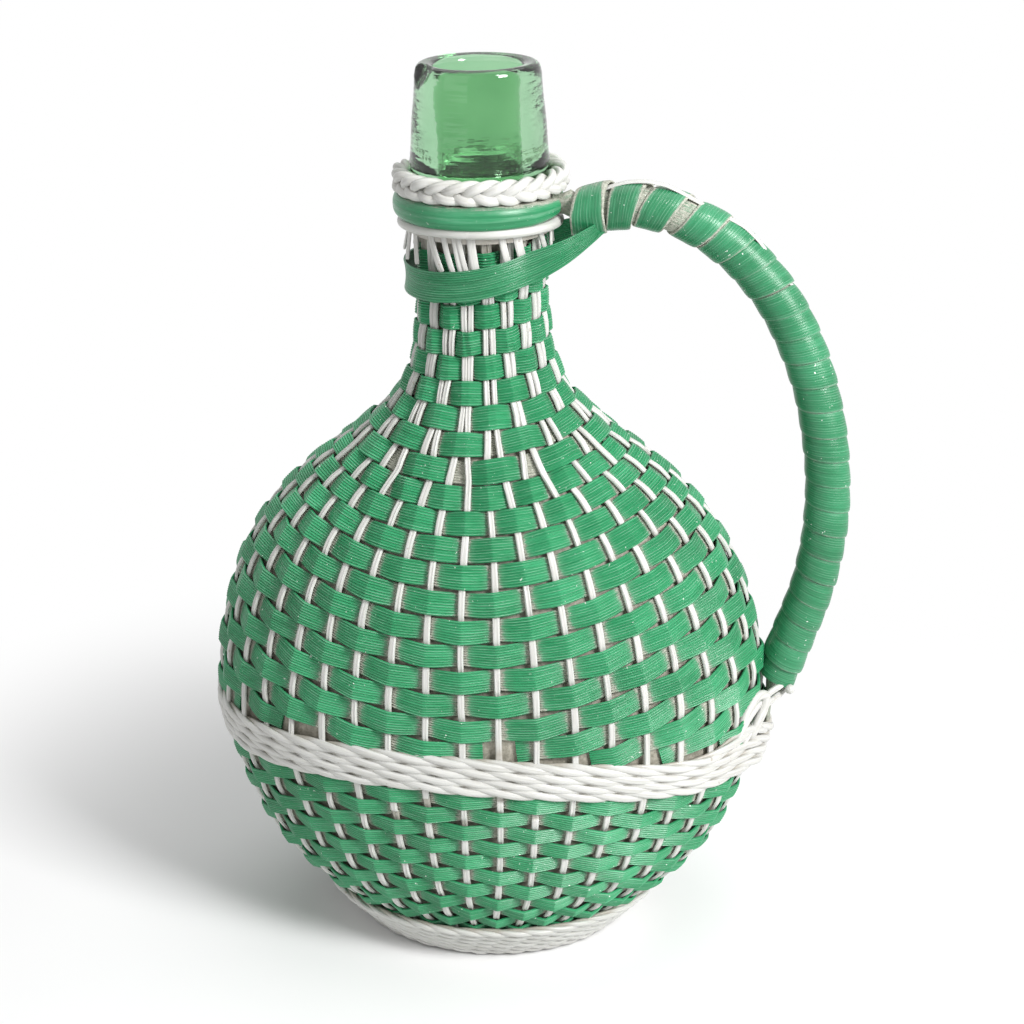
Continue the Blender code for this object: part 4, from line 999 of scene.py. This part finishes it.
# Radius, then places, in millimetres
TIE_CANES = (
    (1.50, (
        (112, -36, 106), (116, -31, 112), (121.5, -22, 118), (128.5, -12, 122.5), (134, -7, 124.5),
        (138.5, 0, 125.5), (137, 8, 125), (131, 15, 123), (120, 23, 118))),
    (1.45, (
        (117, -30, 105), (121.5, -23, 111), (127, -13, 116.5), (133.5, -5, 119), (136.5, 1, 120),
        (135, 9, 122), (126, 16, 118))),
    (2.2, (
        (113, -33, 104), (116, -28.5, 113), (119.5, -23.5, 120.5), (123.5, -19, 124.5),
        (126.5, -16.5, 123.5), (126.2, -17.5, 118.5), (123.5, -21.5, 112.5), (120, -25.5, 106))),
)
TIE_STEPS = 60
KNOB_PLACE = (0.1375, -0.0075, 0.1225)
KNOB_HALF = 0.0022
KNOB_RADIUS = 0.0023


def handle_at(length, angle, radius):
    """Place on a tube round the handle's line. Angle 0 is its outer side."""
    before = np.minimum(length, 0.0)
    length = np.clip(length, 0, HANDLE_LENGTH)
    centre, out = (
        np.stack([np.interp(length, HANDLE_LENGTHS, axis) for axis in values.T], -1)
        for values in (HANDLE_RUN, HANDLE_OUT))
    centre[..., 0] += before
    out = unit(out)
    away = out * np.cos(angle)[..., None] + np.array((0.0, 1.0, 0.0)) * np.sin(angle)[..., None]
    return centre + away * np.asarray(radius)[..., None], away


def handle_core():
    """Core from the neck through the wrap, flat where its foot lies on the glass."""
    skin = Skin()
    angles = around(28)
    level = 0 * angles
    rows = []
    for reach, radius in CORE_START:
        height = CORE_HEIGHT + radius * np.cos(angles)
        rows.append(np.stack((reach + level, radius * np.sin(angles), height), -1))
    for length in np.linspace(0.002, HANDLE_LENGTH - 0.002, 90):
        taper = np.interp(length, (0, 0.006, HANDLE_LENGTH - 0.02, HANDLE_LENGTH), (0.84, 1, 1, 0.55))
        radius = CORE_RADIUS * taper + 0.0002 * math.sin(length * 300)
        rows.append(handle_at(length + level, angles, radius + level)[0])
    for height, half in CORE_END:
        middle = body_size(height)[0] + CORE_STAND
        rows.append(np.stack((middle + 0.0015 * np.cos(angles), half * np.sin(angles), height + level), -1))
    skin.add(np.array(rows), False, np.arange(len(rows))[:, None] * 0.003, np.cos(angles)[None], 0.62)
    skin.finish("handle_core", WRAP, 60)


def uneven_turns(turn, size):
    return np.interp(turn, np.arange(24), rng.normal(0, size, 24))


def handle_wrap():
    """One ribbon wound round the handle, unevenly spaced near the neck."""
    turn = np.arange(int(WRAP_TURNS * WRAP_STEPS) + 1) / WRAP_STEPS + WRAP_START
    middle = read(WRAP_MIDDLES, turn, 0.001) + uneven_turns(turn, 0.00035)
    width = read(WRAP_WIDTHS, turn, 0.001) * (1 + uneven_turns(turn, 0.012))
    angle = turn * TURN - math.pi / 2
    _, side = rib_profile(1, 1.0, WRAP_RIBS, 0.0, 0.0)
    corner = np.arange(len(side))
    face = corner < len(side) - 2
    ridge = np.where((corner % 2 == 1) & face, WRAP_RIB_HEIGHT, 0.0)
    spots = middle[:, None] + 0.5 * width[:, None] * side[None]
    base = WRAP_RADIUS + 0.0003 * uneven_turns(turn, 0.35)
    ends = (0, 0.012, 0.024, HANDLE_LENGTH - 0.016, HANDLE_LENGTH)
    taper = np.interp(middle, ends, (1.12, 1.10, 1, 1, 0.86))
    radius = (base * taper)[:, None] + np.where(face, RIBBON_THICKNESS, 0.0)[None] + ridge[None]
    radius = radius + 0.00040 * side[None] - 0.00045 * side[None] ** 4
    points, _ = handle_at(spots, angle[:, None] + 0 * spots, radius)
    edge = np.clip((np.abs(side) - 0.62) / 0.38, 0, 1)
    grime = read(WRAP_EDGE_GRIME, turn)[:, None] * edge[None] ** 1.5
    outer = np.clip(np.cos(angle), 0, 1)[:, None] ** 3
    grime += 0.55 * outer * read(WRAP_OUTER_GRIME, turn)[:, None]
    skin = Skin()
    skin.add(points, False, turn[:, None] * TURN_LENGTH, side[None], grime)
    skin.finish("handle_wrap", WRAP)


def handle_spine():
    """Flat cane along the handle's outer side, lifted where it passes over turns of the wrap."""
    skin = Skin()
    length = np.linspace(0.006, HANDLE_LENGTH - 0.03, 200)
    lift = read(SPINE_LIFTS, length * 1000, 0.001)
    place, out = handle_at(length, SPINE_SIDE + 0 * length, SPINE_RADIUS + lift)
    across = unit(np.cross(out, directions(place)))
    angles = around(12)
    shape = np.stack((0.0015 * np.cos(angles), 0.0006 * np.sin(angles)), -1)
    skin.add(lay(place, across, out, shape), False, length[:, None], np.cos(angles)[None], 0.25)
    skin.finish("handle_spine", CANE, 80)


def handle_tie():
    """Canes hooked round the handle's foot, a folded loop in front of it and a knob."""
    skin = Skin()
    reach = np.linspace(0, 1, TIE_STEPS)
    round_end = np.sqrt(np.clip(np.minimum(reach, 1 - reach) / 0.04, 0.08, 1))
    for radius, points in TIE_CANES:
        run = path(np.array(points) / 1000, TIE_STEPS)
        rod(skin, run, unit(run * (1, 1, 0)), radius / 1000 * round_end, dust=0.1)
    across = np.linspace(-KNOB_HALF, KNOB_HALF, 9)
    knob = np.array(KNOB_PLACE) + np.stack((0 * across, across, 0 * across), -1)
    swell = KNOB_RADIUS * np.sqrt(np.clip(1 - np.linspace(-0.98, 0.98, 9) ** 2, 0.02, 1))
    rod(skin, knob, UP, swell, False, 14)
    skin.finish("handle_tie", CANE, 80)


glass_bottle()
weft()
stakes()
waist_band()
foot_border()
neck_plait()
neck_hoop()
neck_ring()
neck_fringe()
neck_sling()
handle_core()
handle_wrap()
handle_spine()
handle_tie()
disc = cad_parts["base_disc"]
disc.data.materials.clear()
disc.data.materials.append(DIRTY_CANE)

# Floor, light and camera
WHITE = (1.0, 1.0, 1.0, 1.0)
FLOOR_SHADES = ((0.3, (0.84, 0.84, 0.84)), (0.7, (0.86, 0.86, 0.86)))
FLOOR_FADE = (0.16, 0.42)
FLOOR_HALF = 9
WORLD_STRENGTH = 0.34
LIGHT_TARGET = Vector((0.0, 0.0, 0.20))
# Name, place, size and power
LIGHTS = (
    ("key", (0.92, -0.66, 0.95), (0.40, 0.60), 24.0),
    ("fill", (-0.7, -1.1, 0.9), (1.2, 1.2), 3.0),
    ("top", (0.0, 0.3, 1.4), (1.2, 1.2), 6.0),
)
CAMERA_PLACE = (0.1084, -0.7865, 0.5306)
CAMERA_PITCH = 0.3938
CAMERA_ROLL = 0.0157
CAMERA_TURN = 0.1280
CAMERA_SENSOR = 36.0
CAMERA_LENS = 67.58
CAMERA_SHIFT = 0.0095
CAMERA_REACH = 60


def bright_rays(tree):
    """Rays that see a white surround: from the camera, through the glass and off glossy faces."""
    rays = node(tree, "ShaderNodeLightPath").outputs
    seen = math_node(tree, "MAXIMUM", rays["Is Camera Ray"], rays["Is Transmission Ray"])
    return math_node(tree, "MAXIMUM", seen, rays["Is Glossy Ray"])


def place_object(name, data):
    item = bpy.data.objects.new(name, data)
    bpy.context.scene.collection.objects.link(item)
    return item


def plain_floor():
    """Pale floor that fades to white away from the bottle."""
    material, tree, shader = new_material("floor_pale")
    grain = noise(object_place(tree), 3.0, 4.0, 0.6)
    set_inputs(tree, shader, {
        "Base Color": ramp(grain, FLOOR_SHADES), "Roughness": 0.95, "Specular IOR Level": 0.0})
    reach = node(tree, "ShaderNodeVectorMath", {0: object_place(tree)}, operation="LENGTH").outputs["Value"]
    far = times(span(reach, *FLOOR_FADE), bright_rays(tree))
    white = node(tree, "ShaderNodeEmission", {"Color": WHITE, "Strength": 1.0})
    chooser = node(tree, "ShaderNodeMixShader", {0: far, 1: shader.outputs[0], 2: white.outputs[0]})
    tree.links.new(chooser.outputs[0], tree.nodes["Material Output"].inputs["Surface"])
    mesh = bpy.data.meshes.new("floor")
    corners = [(x * FLOOR_HALF, y * FLOOR_HALF, 0) for x, y in ((-1, -1), (1, -1), (1, 1), (-1, 1))]
    mesh.from_pydata(corners, [], [(0, 1, 2, 3)])
    mesh.materials.append(material)
    return place_object("floor", mesh)


def area_light(name, place, size, power):
    lamp = bpy.data.lights.new(name, "AREA")
    lamp.shape = "RECTANGLE"
    lamp.size, lamp.size_y = size
    lamp.energy = power
    item = place_object(name, lamp)
    item.location = place
    item.rotation_euler = (LIGHT_TARGET - Vector(place)).to_track_quat("-Z", "Y").to_euler()


def world_light():
    """Soft light from all round, which bright_rays see as white."""
    world = bpy.data.worlds.new("studio")
    bpy.context.scene.world = world
    world.use_nodes = True
    tree = world.node_tree
    soft = tree.nodes["Background"]
    set_inputs(tree, soft, {"Color": WHITE, "Strength": WORLD_STRENGTH})
    seen = node(tree, "ShaderNodeBackground", {"Color": WHITE, "Strength": 1.0})
    chooser = node(tree, "ShaderNodeMixShader", {
        0: bright_rays(tree), 1: soft.outputs[0], 2: seen.outputs[0]})
    tree.links.new(chooser.outputs[0], tree.nodes["World Output"].inputs["Surface"])


def photo_camera():
    """The photograph's camera, as measured from it."""
    forward = Vector((0, math.cos(CAMERA_PITCH), -math.sin(CAMERA_PITCH)))
    right = Vector((1, 0, 0))
    up = right.cross(forward)
    leaned = right * math.cos(CAMERA_ROLL) - up * math.sin(CAMERA_ROLL)
    upright = right * math.sin(CAMERA_ROLL) + up * math.cos(CAMERA_ROLL)
    axes = Matrix.Rotation(CAMERA_TURN, 3, "Z") @ Matrix((leaned, upright, -forward)).transposed()
    lens = bpy.data.cameras.new("photo")
    lens.sensor_width = CAMERA_SENSOR
    lens.lens = CAMERA_LENS
    lens.shift_x = CAMERA_SHIFT
    lens.clip_end = CAMERA_REACH
    camera = place_object("photo", lens)
    camera.matrix_world = Matrix.Translation(CAMERA_PLACE) @ axes.to_4x4()
    bpy.context.scene.camera = camera


plain_floor()
for light in LIGHTS:
    area_light(*light)
world_light()
photo_camera()
bpy.context.scene.view_settings.view_transform = "Standard"
